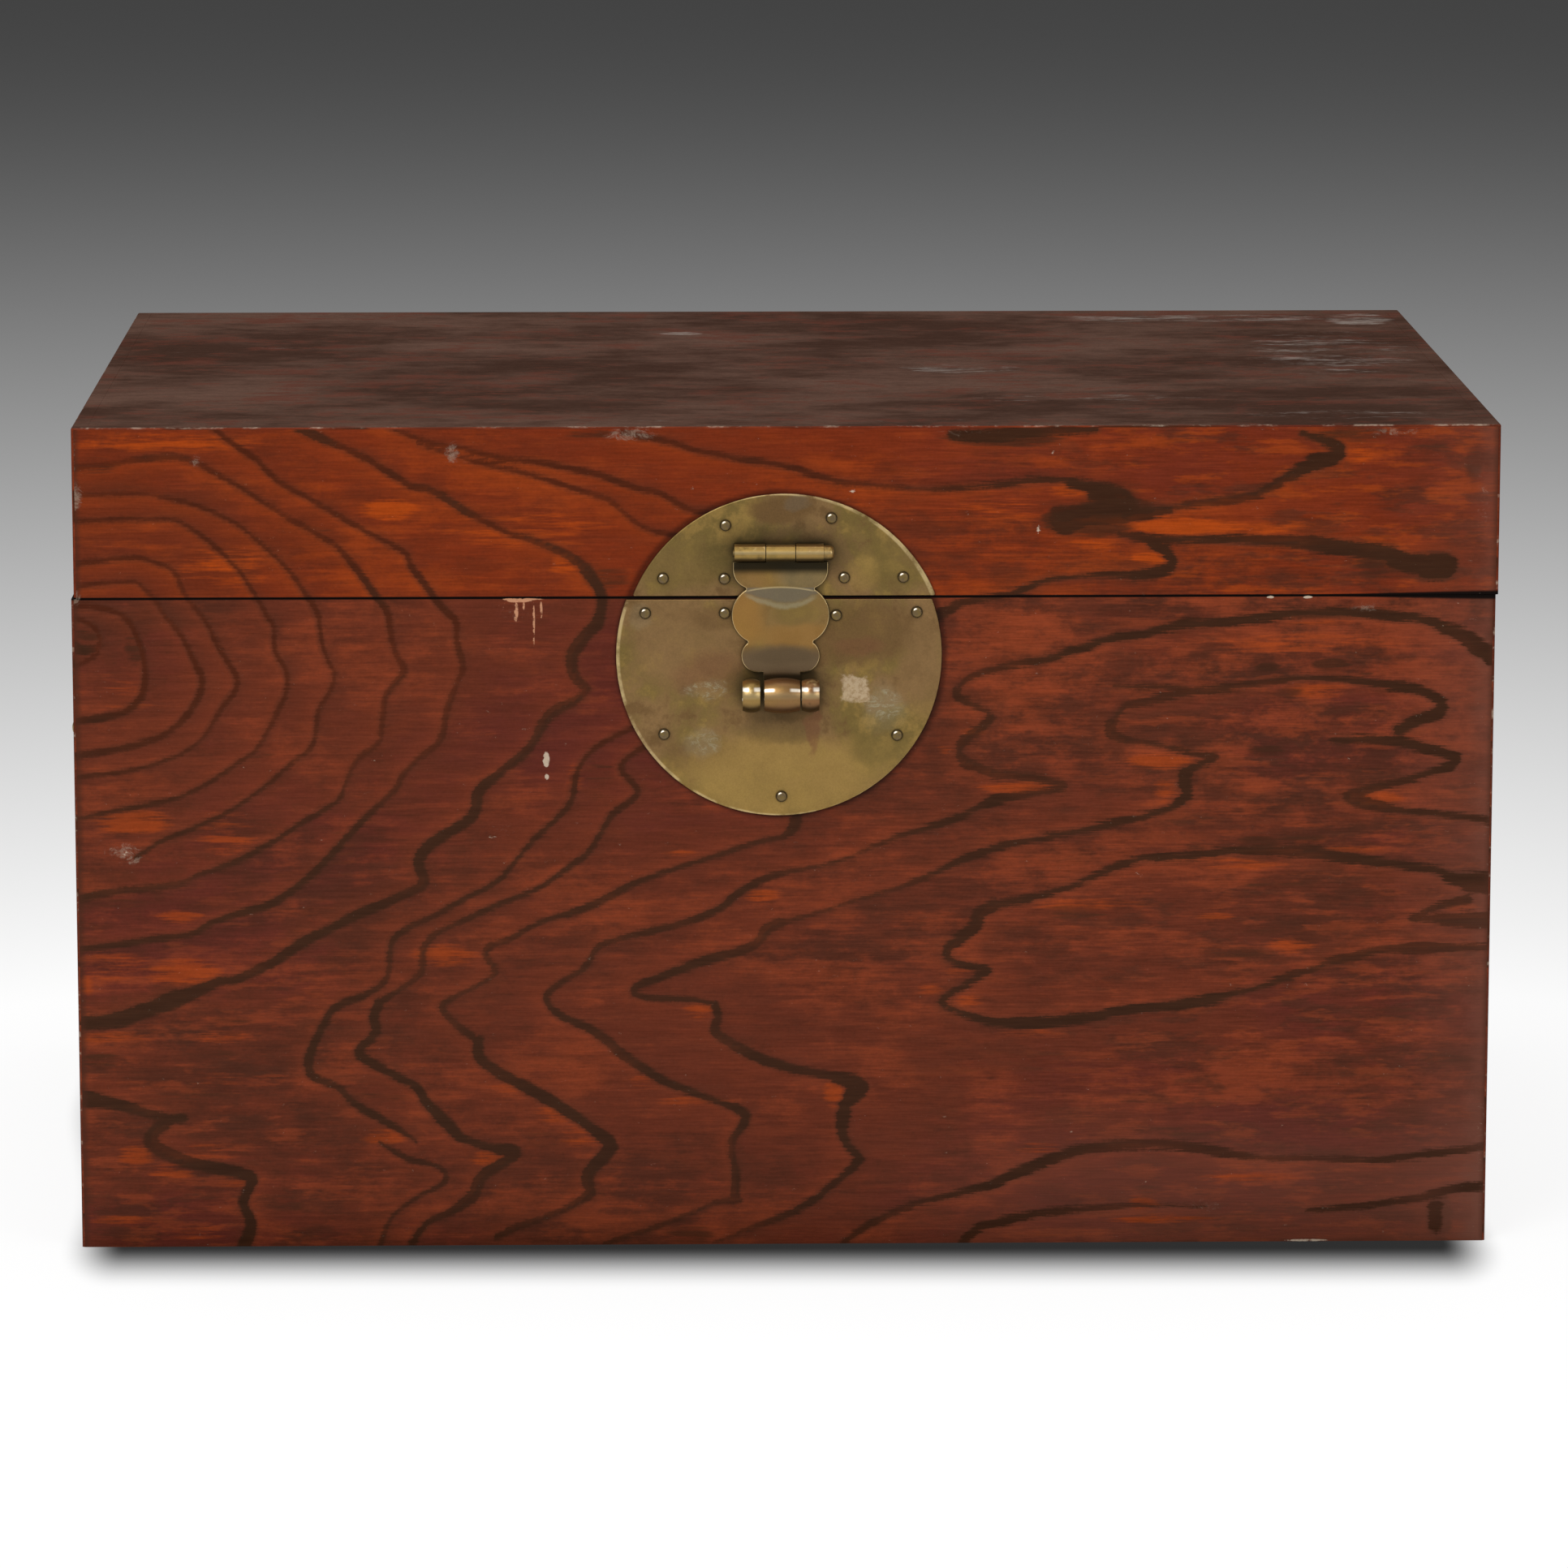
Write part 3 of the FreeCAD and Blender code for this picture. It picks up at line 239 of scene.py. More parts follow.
# Grain of the front, read off the front in millimetres from its left end and from its underside.
# Each line has its thickness at both ends, then the places it runs through, across and up in turn.
# Its bright side is to the right of its way.
GRAIN_LINES = [
    # Rings round the knot at the left end
    (2.2, 3.2, [0, 369, 12, 369, 24, 366, 33, 359, 39, 344, 40.6, 334, 40.4, 324, 37, 316, 30, 310,
     22, 307, 10, 305, 0, 304]),
    (1.8, 2.4, [0, 379, 10, 381, 30, 382.5, 38, 381.5, 47, 372, 51, 365, 62, 351, 70, 334, 72.5, 327,
     71, 319, 66, 310, 60, 303, 53, 297, 44, 293, 34, 290, 20, 287, 0, 284]),
    (2, 1.4, [0, 392, 10, 394, 30, 396, 40, 395.6, 54, 391, 59, 386, 64, 374, 75, 360, 83, 344, 88, 336,
     92, 328, 91, 321, 84, 312, 74, 296, 66, 289, 58, 284, 36, 276.5, 20, 274, 0, 272]),
    (1.6, 2.6, [0, 417, 20, 418, 54, 418, 62, 416, 70, 411, 80, 403, 94, 389, 99, 381, 109, 364, 113, 357,
     113, 348, 115, 340, 120, 332, 120, 321, 115, 310, 109, 298, 102, 287, 94, 281, 76, 269, 58, 260,
     40, 256, 20, 252, 0, 248]),
    (1.8, 2.4, [0, 432, 40, 432, 64, 428, 80, 422, 90, 417, 100, 410, 118, 393, 126, 383, 137, 366,
     138.5, 358, 140, 346, 144, 336, 147, 330, 144, 320, 138, 310, 136, 298, 133, 288, 124, 281, 108, 267,
     90, 254, 70, 244, 48, 235, 34, 226]),
    (2.6, 2.8, [0, 447, 20, 448.5, 40, 452, 60, 453, 70, 450, 80, 445, 100, 433, 120, 420, 140, 408,
     150, 401, 158, 392, 170, 375, 177, 365, 179, 350, 182, 340, 186, 332, 181, 325, 175, 317, 172.5, 296,
     170, 290, 158, 280, 151, 264, 148, 258, 130, 247, 110, 234, 90, 223, 70, 216, 60, 211, 40, 208,
     20, 206, 0, 202]),
    (1.4, 1.8, [3, 362, 12, 358, 16, 350, 14, 342, 8, 338, 0, 335]),
    (5, 4, [0, 346, 8, 344, 14, 345]),
    # Long sweeps between the knot and the lock
    (2.4, 2.8, [80, 470, 88, 463, 104, 452, 116, 440, 136, 428, 160, 414, 180, 403, 188, 398, 190, 392,
     200, 378, 208, 367, 215, 360, 215.5, 348, 219, 334, 216, 326, 210, 310, 208, 300, 205, 291, 194, 282,
     184, 272, 180, 264, 162, 247, 144, 227, 130, 213, 110, 199, 90, 193, 74, 187, 66, 182, 46, 179,
     24, 176, 0, 173]),
    (3.6, 3.6, [128, 470, 140, 464, 164, 453, 182, 442, 192, 436, 202, 434, 222, 422, 244, 410, 260, 405,
     280, 396, 288, 389]),
    (5.6, 3.8, [288, 389, 293, 382, 297, 373, 295, 360, 288, 352, 281, 342, 280, 334, 283, 326, 288.5, 321,
     282, 315, 274, 311, 266, 305, 256, 288, 242, 276, 228, 264, 226, 256, 223, 248, 206, 237, 197, 230,
     193, 222, 196, 210, 186, 204.5, 174, 199, 156, 191.5, 142, 184, 128, 177, 114, 167.5, 104, 161.5]),
    (4.6, 7, [104, 161.5, 96, 158, 88, 154.5, 80, 154.5, 74, 151.5, 65, 147.5, 56, 144]),
    (9, 7.4, [56, 144, 42, 139, 27, 134, 13, 131.5, 0, 130.5]),
    (3, 2.4, [178, 470, 190, 465, 200, 461, 220, 457, 240, 452, 260, 450, 280, 446, 300, 441, 320, 434,
     330, 432, 346, 423, 360, 420]),
    (2, 2.8, [196, 460, 210, 455, 230, 449, 260, 442, 280, 435, 300, 429, 306, 424, 320, 413, 338, 408]),
    (2.4, 2.8, [310, 466, 334, 461, 350, 456, 370, 452, 400, 447, 420, 441, 432, 438, 450, 436, 480, 434,
     510, 435.6, 540, 438, 560, 438, 580, 435]),
    # Blots and loops at the right of the lid
    (6, 12, [560, 437, 576, 434, 588, 431, 594, 424]),
    (15, 18, [556, 416, 572, 419, 588, 421]),
    (15, 6, [588, 419, 600, 420, 616, 422]),
    (10, 13, [573, 431, 584, 427, 589, 418]),
    (4, 6, [600, 420, 630, 425, 658, 429, 670, 433, 680, 439, 698, 448]),
    (7, 3, [698, 448, 709, 452, 711, 457, 702, 461, 690, 465]),
    (13, 13, [763, 388.5, 769, 388.5]),
    (10, 9, [766, 389, 757, 391, 742, 394]),
    (8, 3.4, [742, 396, 730, 398, 706, 401, 680, 404, 650, 405, 622, 405, 602, 406, 588, 409]),
    (5.6, 6, [606, 403, 614, 398, 618, 391, 610, 387, 596, 385]),
    (3.6, 4.6, [596, 385, 576, 385, 550, 383, 540, 380, 528, 375, 510, 372, 498, 369, 484, 361]),
    (7, 3, [494, 464, 516, 463.5, 540, 466, 574, 468]),
    # Loops at the right of the carcass
    (2.6, 4.4, [496, 319, 502, 325, 510, 329, 530, 334, 550, 338, 566, 343, 580, 348, 600, 351, 620, 356,
     650, 358, 680, 362, 720, 363, 744, 361, 760, 359, 772, 354]),
    (4.4, 9, [772, 354, 782, 350, 790, 343, 798, 338]),
    (3.6, 4.2, [496, 320, 498, 315, 506, 311, 516, 305, 510, 298, 502, 293, 498, 286, 500, 280, 508, 276,
     518, 272, 530, 271, 552, 266.5, 557, 264.5, 550, 262.5, 526, 259, 514, 255]),
    (2.6, 2.6, [514, 255, 490, 244, 460, 235, 430, 222, 410, 218, 390, 213, 372, 203, 366, 197, 346, 188,
     314, 180, 302, 177]),
    (3.4, 4.2, [302, 177, 294, 173, 286, 161, 276, 155, 266, 147, 265, 142, 272, 134, 292, 124, 310, 109,
     330, 96, 354, 86, 372, 79]),
    (6.2, 5, [372, 79, 377.5, 75, 375, 68, 370, 61.5, 369.5, 53, 371.5, 43, 371.5, 29]),
    (3, 2.4, [374, 26, 362, 25, 350, 20, 326, 10, 298, 1]),
    (3.4, 4, [583, 297, 590, 308, 596, 311, 606, 313, 620, 317, 646, 320, 674, 324, 700, 326, 730, 323,
     752, 320]),
    (4.6, 6, [752, 320, 762, 317, 770, 311, 768, 306, 756, 301, 746, 296]),
    (4.2, 3.8, [583, 301, 584, 295, 594, 290, 610, 288, 634, 282.5, 643, 281, 634, 277, 626, 273]),
    (5.4, 3.4, [626, 273, 625, 266, 627, 260, 620, 253, 602, 247]),
    (3.2, 2.4, [602, 247, 570, 240, 538, 234, 514, 228, 486, 216, 464, 207, 438, 199, 412, 191, 398, 187]),
    (4.6, 2.2, [398, 187, 390, 183, 385, 176, 376, 171, 354, 165, 330, 156, 314, 149, 320, 144, 346, 142,
     358, 140]),
    (4.4, 3.2, [360, 139, 362, 133, 360, 125, 366, 119, 386, 108, 402, 103, 428, 97]),
    (4.4, 8, [428, 97, 437, 94.5, 444, 91, 438, 86.5]),
    (6, 6, [438, 86.5, 434, 80, 432.5, 70, 433, 62, 437, 55.5, 442, 49.5, 436, 42]),
    (5, 1.8, [436, 42, 427, 35, 420, 28.5, 412, 23, 400, 16.5, 380, 9, 360, 1]),
    (2, 2.6, [586, 321, 606, 321, 626, 320]),
    (5, 3.8, [798, 244, 780, 247, 750, 250, 734, 253, 719, 258, 742, 265, 756, 269, 770, 273, 779, 278,
     776, 282, 754, 288, 736, 291, 710, 291]),
    (4.4, 4.2, [798, 171, 764, 171, 738, 170, 714, 164, 690, 156, 670, 149, 644, 142, 616, 138, 590, 135,
     576, 132, 550, 129, 520, 129, 502, 134]),
    (5.6, 5.4, [502, 134, 489, 140.5, 499, 148, 508, 153.5, 514.5, 158.5, 503, 162, 492.5, 166, 493, 172,
     500, 177, 508, 184, 511, 192, 518, 196.5]),
    (3.4, 4.2, [518, 196, 538, 200, 560, 206, 580, 215, 600, 222, 626, 224, 654, 227]),
    (5.4, 6, [654, 227, 686, 227, 710, 224, 738, 220, 764, 216, 776, 213]),
    (10, 15, [776, 211, 788, 209, 800, 209]),
    (9, 4, [800, 187, 780, 187, 764, 188, 756, 188]),
    (6, 4, [786, 199, 774, 196, 762, 192]),
    # Waves along the foot
    (2.4, 5, [434, 1, 452, 13, 476, 23, 506, 31, 520, 35, 530, 40, 540, 44, 564, 53]),
    (5, 3.2, [564, 53, 590, 57, 620, 57, 646, 53, 670, 49, 702, 48, 734, 47, 764, 50, 798, 54]),
    (4.4, 2, [799, 32, 786, 31, 774, 28, 760, 25, 730, 21, 698, 18]),
    (4, 1.2, [502, 0, 506, 5, 514, 10, 540, 16, 570, 19, 602, 21, 640, 20.5]),
    (8, 8, [771.5, 18, 771.5, 9]),
    (5.6, 6, [92, 0, 96, 10, 95.5, 17, 92, 25, 95, 33, 97.5, 39, 90, 43, 78, 45.5, 64, 48.5, 54, 52,
     45, 56.5, 40, 62, 41, 67, 49, 72]),
    (5, 6.6, [58, 75, 50, 75, 40, 77.5, 20, 83.5, 0, 87]),
    # Zigzags at the left of the foot
    (2.4, 2.8, [314, 299, 304, 294, 294, 288, 286, 280, 282, 272, 278, 255, 260, 237, 252, 228, 238, 212,
     220, 202, 200, 191, 184, 183, 177, 175, 174, 155, 160, 145]),
    (4, 4.4, [160, 145, 145, 139, 139, 130, 135, 122, 131, 113, 129.5, 105, 132, 99, 140, 95, 147, 92,
     153, 85, 160, 79.5]),
    (4.2, 0.6, [160, 79.5, 170, 74, 180, 68, 190, 61]),
    (0.5, 2.8, [170, 60, 186, 50]),
    (2.8, 2.6, [186, 50, 204, 45, 206, 37, 192, 29, 176, 17, 169, 0]),
    (3.4, 3, [322, 289, 310, 281, 308, 274, 317, 263, 310, 255, 302, 249, 290, 229, 280, 221, 260, 207,
     238, 198, 214, 187, 202, 181, 195, 172, 194, 159, 184, 151, 172, 143]),
    (4.2, 4.8, [170, 142, 167, 133, 168, 124, 158, 114, 163, 108, 182, 97, 191, 92.5, 196, 84, 204, 75,
     210, 68.5, 216, 62.5, 225, 59, 236, 56]),
    (6, 4.6, [236, 56, 246, 54, 240, 48.5, 231, 43.5, 226, 38, 223.5, 31, 218, 25, 208, 19, 197, 14,
     190, 6, 187, 0]),
    (6, 3, [406, 246, 404, 240, 398, 236]),
    (2.6, 3, [398, 236, 380, 232, 350, 222, 320, 212, 290, 197, 260, 187, 244, 178, 234, 175]),
    (4, 3.6, [234, 175, 230, 169, 236, 159, 226, 152, 208, 142, 206, 137, 214, 128, 226, 119]),
    (6, 5.4, [226, 119, 227, 109, 240, 99, 256, 90, 276, 78, 298, 62]),
    (5.6, 3.4, [298, 62, 301, 57, 295, 50, 289, 43, 287, 37, 289.5, 31, 282, 25, 270, 19, 258, 14.5,
     246, 10, 236, 5]),
]

# Patches of the front, in the same millimetres: middle across and up, reach across and up, and strength.
# Pale chips where the lacquer has gone
FRONT_CHIPS = [
    (268, 265, 0.6, 3.4, 0.55), (250, 243, 0.8, 2.8, 0.55), (235, 237, 2.6, 1, 0.5),
    (232, 246, 0.7, 1, 0.7), (684, 360.5, 2.3, 0.7, 0.55), (437, 433.2, 3, 0.7, 0.75),
    (542, 411, 1.6, 2.4, 0.5), (550, 454, 1.6, 0.8, 0.5), (184, 53, 0.6, 0.6, 0.9),
    (301, 57, 0.8, 0.8, 0.7), (725, 366, 2.6, 1, 0.35), (28, 228, 3.4, 1.6, 0.4),
]
# Chips too thin for the film's own mesh, as drips under the split
THIN_CHIPS = [
    (252, 372.3, 16, 0.8, 0.8), (251, 371.6, 9, 1.5, 0.95), (249.5, 366, 1.4, 7, 0.72),
    (248.9, 361, 1.2, 2.4, 0.7), (253.5, 369, 0.9, 4, 0.66), (259.2, 360, 0.8, 13, 0.72),
    (259, 349, 0.7, 5, 0.66), (263.4, 366, 0.9, 6.5, 0.7), (265.7, 281, 2.4, 6, 0.95),
    (265.9, 271, 1.6, 2.2, 0.8), (673, 372.2, 2.6, 1, 1), (694, 372.2, 3.6, 1, 1), (698, 0.6, 18, 0.9, 0.7),
]
# Hazy scuffs
FRONT_SMEARS = [
    (28, 229, 10, 5, 0.75), (32, 224, 5, 3, 0.8), (214, 455, 4, 6.5, 0.9), (222, 449, 7, 2, 0.5),
    (71, 451, 4, 3.6, 0.7), (3, 431, 4.4, 9, 0.9), (2, 455, 1.8, 14, 0.6), (2, 374, 4, 6, 0.9),
    (313, 465, 16, 4.4, 0.8), (253, 366, 12, 7, 0.35), (725, 366, 10, 3, 0.5), (640, 22, 14, 6, 0.35),
    (792, 420, 4, 26, 0.35), (745, 466, 20, 3, 0.6), (240, 240, 14, 6, 0.3), (500, 466, 24, 2, 0.4),
    (799, 240, 3, 60, 0.3), (798, 60, 4, 50, 0.35),
]
WARM_PATCHES = [
    (178, 424, 14, 6, 1), (85, 390, 20, 13, 0.5), (60, 461, 50, 5, 0.5), (255, 412, 40, 10, 0.4),
    (276, 392, 8, 5, 0.6), (560, 433, 12, 3.4, 0.8), (575, 403, 16, 3, 0.5), (520, 424, 26, 8, 0.35),
    (618, 413, 24, 5, 1), (605, 394, 9, 4.4, 0.9), (668, 411, 32, 3.4, 0.5), (722, 452, 7, 7, 0.5),
    (530, 264, 20, 4, 0.9), (490, 286, 5, 5, 0.5), (506, 296, 7, 3.4, 0.5), (612, 279, 18, 4, 0.8),
    (614, 262, 6, 6, 0.6), (700, 319, 17, 4.4, 0.6), (700, 357, 22, 1.8, 0.6), (690, 345, 60, 6, 0.35),
    (737, 257, 11, 3.4, 1), (785, 194, 10, 2.8, 1), (650, 220, 28, 4, 0.5), (720, 229, 16, 4, 0.5),
    (688, 174, 12, 5, 0.6), (645, 190, 10, 4, 0.5), (575, 196, 30, 4, 0.6), (505, 141.5, 8, 3, 0.6),
    (540, 122, 16, 3.4, 0.5), (484, 148, 8, 3.4, 0.5), (500, 158, 9, 3, 0.5), (428, 87, 6, 7, 0.8),
    (352, 136, 10, 4.4, 0.8), (320, 95, 8, 4, 0.6), (352, 84, 20, 4, 0.5), (545, 55, 12, 3.4, 0.6),
    (604, 23, 10, 3, 0.8), (620, 13, 30, 2.6, 0.9), (655, 38, 34, 4, 0.35), (387, 202, 9, 4, 0.8),
    (340, 227, 9, 3, 0.5), (232, 51, 10, 4.4, 0.9), (268, 76, 10, 5, 0.6), (284, 63, 12, 6, 0.5),
    (246, 93, 12, 6, 0.4), (172, 64, 12, 4.4, 0.9), (208, 168, 16, 6, 0.7), (282, 271, 5, 7, 0.5),
    (33, 246, 18, 7, 0.9), (85, 240, 16, 12, 0.5), (58, 192, 12, 4, 0.9), (60, 158, 18, 8, 0.9),
    (20, 165, 18, 9, 0.5), (80, 123, 16, 5, 0.5), (18, 122, 22, 3.4, 0.5), (32, 55, 10, 7, 0.9),
    (52, 44, 12, 4.4, 0.8), (72, 55, 14, 5.4, 0.6), (86, 37, 9, 3.4, 0.6), (24, 15, 18, 3.4, 0.6),
    (66, 7, 18, 5, 0.5), (78, 97, 16, 5, 0.4), (5, 150, 3, 14, 0.5), (30, 322, 14, 14, 0.3),
]
DARK_PATCHES = [
    (14, 449, 14, 5, 0.6), (26, 435, 16, 6, 0.35), (35, 345, 6, 11, 0.6), (10, 354, 8, 6, 0.6),
    (140, 413, 8, 4, 0.4), (300, 384, 14, 6, 0.45), (292, 466, 16, 3, 0.6), (522, 463, 32, 5, 1),
    (556, 467, 26, 2, 0.6), (572, 411, 22, 5, 0.9), (556, 416, 12, 8, 0.9), (584, 424, 20, 9, 1),
    (745, 386, 24, 4, 0.6), (508, 461, 20, 3, 0.5), (530, 338, 14, 3.4, 0.4), (732, 392, 14, 4.4, 0.7),
    (766, 389, 16, 10, 0.7), (660, 384, 14, 5, 0.3), (672, 332, 7, 3, 1.1), (708, 333, 11, 4, 1.1),
    (727, 329, 5, 2, 0.8), (672, 284.5, 11, 3, 1), (700, 363, 26, 2.6, 0.6), (684, 318, 8, 2.6, 0.5),
    (720, 464, 26, 4, 0.6), (762, 458, 12, 4, 0.5), (786, 447, 5, 12, 0.5), (738, 430, 20, 3, 0.3),
    (690, 436, 10, 3, 0.3), (785, 262, 7, 11, 0.35), (790, 314, 9, 9, 0.35), (745, 338, 12, 3, 0.4),
    (668, 232, 14, 4.4, 0.75), (692, 234, 16, 3.4, 0.7), (633, 229, 6, 4, 0.55), (680, 208, 24, 3, 0.55),
    (640, 197, 12, 4, 0.4), (672, 181, 14, 3, 0.55), (708, 183, 14, 3, 0.45), (655, 168, 20, 3.4, 0.5),
    (776, 106, 15, 4, 0.55), (745, 133, 13, 5, 0.4), (735, 117, 10, 3, 0.35), (628, 65, 22, 4, 0.4),
    (722, 65, 12, 3, 0.35), (608, 31, 9, 3.4, 0.5), (650, 14, 24, 3, 0.45), (774, 14, 7, 13, 1.1),
    (565, 192, 20, 4, 0.55), (490, 76, 11, 3, 0.4), (296, 272, 10, 9, 0.55), (345, 5, 14, 6, 0.5),
    (384, 118, 12, 3, 0.4), (150, 230, 9, 15, 0.3), (12, 109, 12, 4.4, 0.7), (75, 112, 16, 4, 0.4),
    (86, 131, 12, 3.4, 0.5), (40, 199, 34, 4, 0.5), (64, 88, 24, 7, 0.3), (104, 104, 14, 16, 0.25),
    (116, 25, 10, 6, 0.35), (172, 90, 16, 9, 0.35), (106, 284, 8, 3, 0.4), (262, 62, 16, 7, 0.3),
    (230, 13, 12, 4.4, 0.4), (640, 240, 60, 10, 0.2), (700, 90, 60, 24, 0.15), (520, 105, 60, 14, 0.2),
]

# Each field of patches with how far it fades around their rims
PATCH_FIELDS = {"warm": (WARM_PATCHES, 0.9), "dark": (DARK_PATCHES, 0.6),
                "chipped": (FRONT_CHIPS, 0.3), "smeared": (FRONT_SMEARS, 0.8)}
CURVE_STEP = 4
NO_LINE = 24
BRIGHT_REACH = 6
DARK_REACH = 3


def through(points):
    """Points of a smooth curve through the given places, a step or less apart."""
    path = np.array(points, float).reshape(-1, 2)
    before = np.vstack([2 * path[0] - path[1], path[:-1]])
    after = np.vstack([path[1:], 2 * path[-1] - path[-2]])
    slopes = (after - before) / 2
    steps = []
    for start, stop, leaving, arriving in zip(path[:-1], path[1:], slopes[:-1], slopes[1:]):
        count = max(1, math.ceil(np.linalg.norm(stop - start) / CURVE_STEP))
        at = (np.arange(count) / count)[:, None]
        steps.append((2 * at**3 - 3 * at**2 + 1) * start + (at**3 - 2 * at**2 + at) * leaving
                     + (3 * at**2 - 2 * at**3) * stop + (at**3 - at**2) * arriving)
    return np.vstack(steps + [path[-1:]])


def grain_fields(places):
    """For each place: distance to the nearest grain line, the same with its side, half that line's width,
    and how near the place is to the bright side of any line and to the dark side of any."""
    gap = np.full(len(places), float(NO_LINE))
    side = np.ones(len(places))
    half = np.zeros(len(places))
    bright = np.zeros(len(places))
    dusk = np.zeros(len(places))
    for start_width, end_width, points in GRAIN_LINES:
        curve = through(points)
        near = np.all((places > curve.min(0) - NO_LINE) & (places < curve.max(0) + NO_LINE), axis=1)
        index = np.flatnonzero(near)
        spots = places[index]
        for number, (start, stop) in enumerate(zip(curve[:-1], curve[1:])):
            along = stop - start
            away = spots - start
            share = np.clip(away @ along / (along @ along), 0, 1)
            off = away - share[:, None] * along
            far = np.hypot(off[:, 0], off[:, 1])
            width = start_width + (end_width - start_width) * (number + share) / (len(curve) - 1)
            reach = far - width / 2
            better = reach < gap[index] - half[index]
            chosen = index[better]
            gap[chosen] = far[better]
            half[chosen] = width[better] / 2
            cross = along[1] * away[:, 0] - along[0] * away[:, 1]
            side[chosen] = np.where(cross[better] >= 0, 1, -1)
            facing = cross / (np.linalg.norm(along) * np.maximum(far, 0.3))
            bright[index] = np.maximum(bright[index], np.clip(facing, 0, 1) * np.exp(-reach / BRIGHT_REACH))
            dusk[index] = np.maximum(dusk[index], np.clip(-facing, 0, 1) * np.exp(-reach / DARK_REACH))
    return {"gap": gap, "signed_gap": gap * side, "half_width": half,
            "bright_side": bright, "dark_side": dusk}


def patch_field(places, patches, rim):
    """The strongest patch at each place, fading to nothing a rim beyond the reach of each."""
    most = np.zeros(len(places))
    for x, z, wide, tall, share in patches:
        off = (places - (x, z)) / (wide, tall)
        most = np.maximum(most, share * np.clip((1 + rim - (off**2).sum(1)) / (2 * rim), 0, 1))
    return most


# Lacquer film with the drawn grain, over the flat of a front
FILM = 0.25 * MM
EDGE_ROUND = 1.5 * MM
GRID_STEP = 2 * MM
TRUNK_LEFT = -400


def add_piece(name, bm, material):
    mesh = bpy.data.meshes.new(name)
    bm.to_mesh(mesh)
    bm.free()
    mesh.materials.append(material)
    return add_object(name, mesh)


def lacquer_film(name, board, body, top_margin, material):
    low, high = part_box(board)
    left, right = low.x + EDGE_ROUND, high.x - EDGE_ROUND
    foot, top = low.z, high.z - top_margin
    bm = bmesh.new()
    bmesh.ops.create_grid(bm, x_segments=round((right - left) / GRID_STEP),
                          y_segments=round((top - foot) / GRID_STEP), size=0.5)
    bmesh.ops.scale(bm, vec=(right - left, top - foot, 1), verts=bm.verts)
    bmesh.ops.rotate(bm, matrix=Matrix.Rotation(math.pi / 2, 3, "X"), verts=bm.verts)
    bmesh.ops.translate(bm, vec=((left + right) / 2, low.y - FILM, (foot + top) / 2), verts=bm.verts)
    rim = [edge for edge in bm.edges if edge.is_boundary]
    back = bmesh.ops.extrude_edge_only(bm, edges=rim)["geom"]
    corners = [corner for corner in back if isinstance(corner, bmesh.types.BMVert)]
    bmesh.ops.translate(bm, vec=(0, 2 * FILM, 0), verts=corners)
    open_edges = [edge for edge in back if isinstance(edge, bmesh.types.BMEdge) and edge.is_boundary]
    bmesh.ops.edgeloop_fill(bm, edges=open_edges)
    bmesh.ops.recalc_face_normals(bm, faces=bm.faces)
    piece = add_piece(name, bm, material)
    places = np.zeros(len(piece.data.vertices) * 3)
    piece.data.vertices.foreach_get("co", places)
    places = places.reshape(-1, 3)[:, ::2] / MM - (TRUNK_LEFT, 0)
    fields = grain_fields(places)
    for title, (patches, fade) in PATCH_FIELDS.items():
        fields[title] = patch_field(places, patches, fade)
    for title, values in fields.items():
        piece.data.attributes.new(title, "FLOAT", "POINT").data.foreach_set("value", values)
    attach(piece, body)


# Wood and lacquer
GRAIN_BROWN = colour(54, 31, 18)
GRAIN_RED = colour(67, 28, 13)
DEEP_BROWN = colour(66, 36, 24)
CARCASS_RED = colour(93, 42, 26)
CARCASS_WARM = colour(127, 56, 30)
PURPLE_RED = colour(84, 35, 28)
LID_RED = colour(111, 42, 18)
LID_WARM = colour(144, 59, 17)
HALO_ORANGE = colour(154, 62, 14)
EDGE_BROWN = colour(104, 63, 50)
CHIP = colour(198, 180, 158)
DRIP = colour(208, 152, 116)
SMEAR = colour(142, 122, 106)
SEAM_SHADOW = colour(14, 8, 6)
TOP_BROWN = colour(60, 41, 33)
TOP_LIGHT = colour(88, 65, 55)
TOP_RED = colour(84, 44, 34)
TOP_SCUFF = colour(150, 140, 132)
BARE_WOOD = colour(150, 112, 74)
BARE_DARK = colour(98, 66, 42)


def fibres(look, along="x"):
    """Streaks of the fibre, long along one axis: a fine and a coarse one, from 0 to 1."""
    def streaks(long, short, detail, shift):
        stretch = tuple(long if axis == along else short for axis in "xyz")
        return look.noise(stretch, detail, 0.65, shift).rise(0.3, 0.7)
    return streaks(46, 760, 2, (0, 0, 0)), streaks(16, 210, 3, (3, 1, 7))


def above_split(look):
    return look.z.rise(SPLIT - 0.00035, SPLIT + 0.00045)


def seam_shadow_and_dirt(look):
    """Painted shadow of the gap in the joint between lid and carcass, with dirt in it, wider towards the
    right end.
    """
    opening = 0.0008 + look.x.rise(0.3, 0.41) * 0.0018
    return (abs(look.z - SPLIT) / opening).rise(1.3, 0.6)


def mottled(look, base, warm, clouds, mottle, coarse, shares):
    """A base colour with its purple, brown and warm clouds, each by a share."""
    purple, brown, glow = clouds
    drift = mottle * 0.5 + (coarse - 0.5) * 0.1
    purple_share, brown_share, glow_share = shares
    return look.laid(base, (PURPLE_RED, (purple + mottle * 0.3).rise(0.48, 0.7) * purple_share),
                     (DEEP_BROWN, (brown + drift).rise(0.54, 0.3) * brown_share),
                     (warm, (glow + drift).rise(0.5, 0.74) * glow_share))


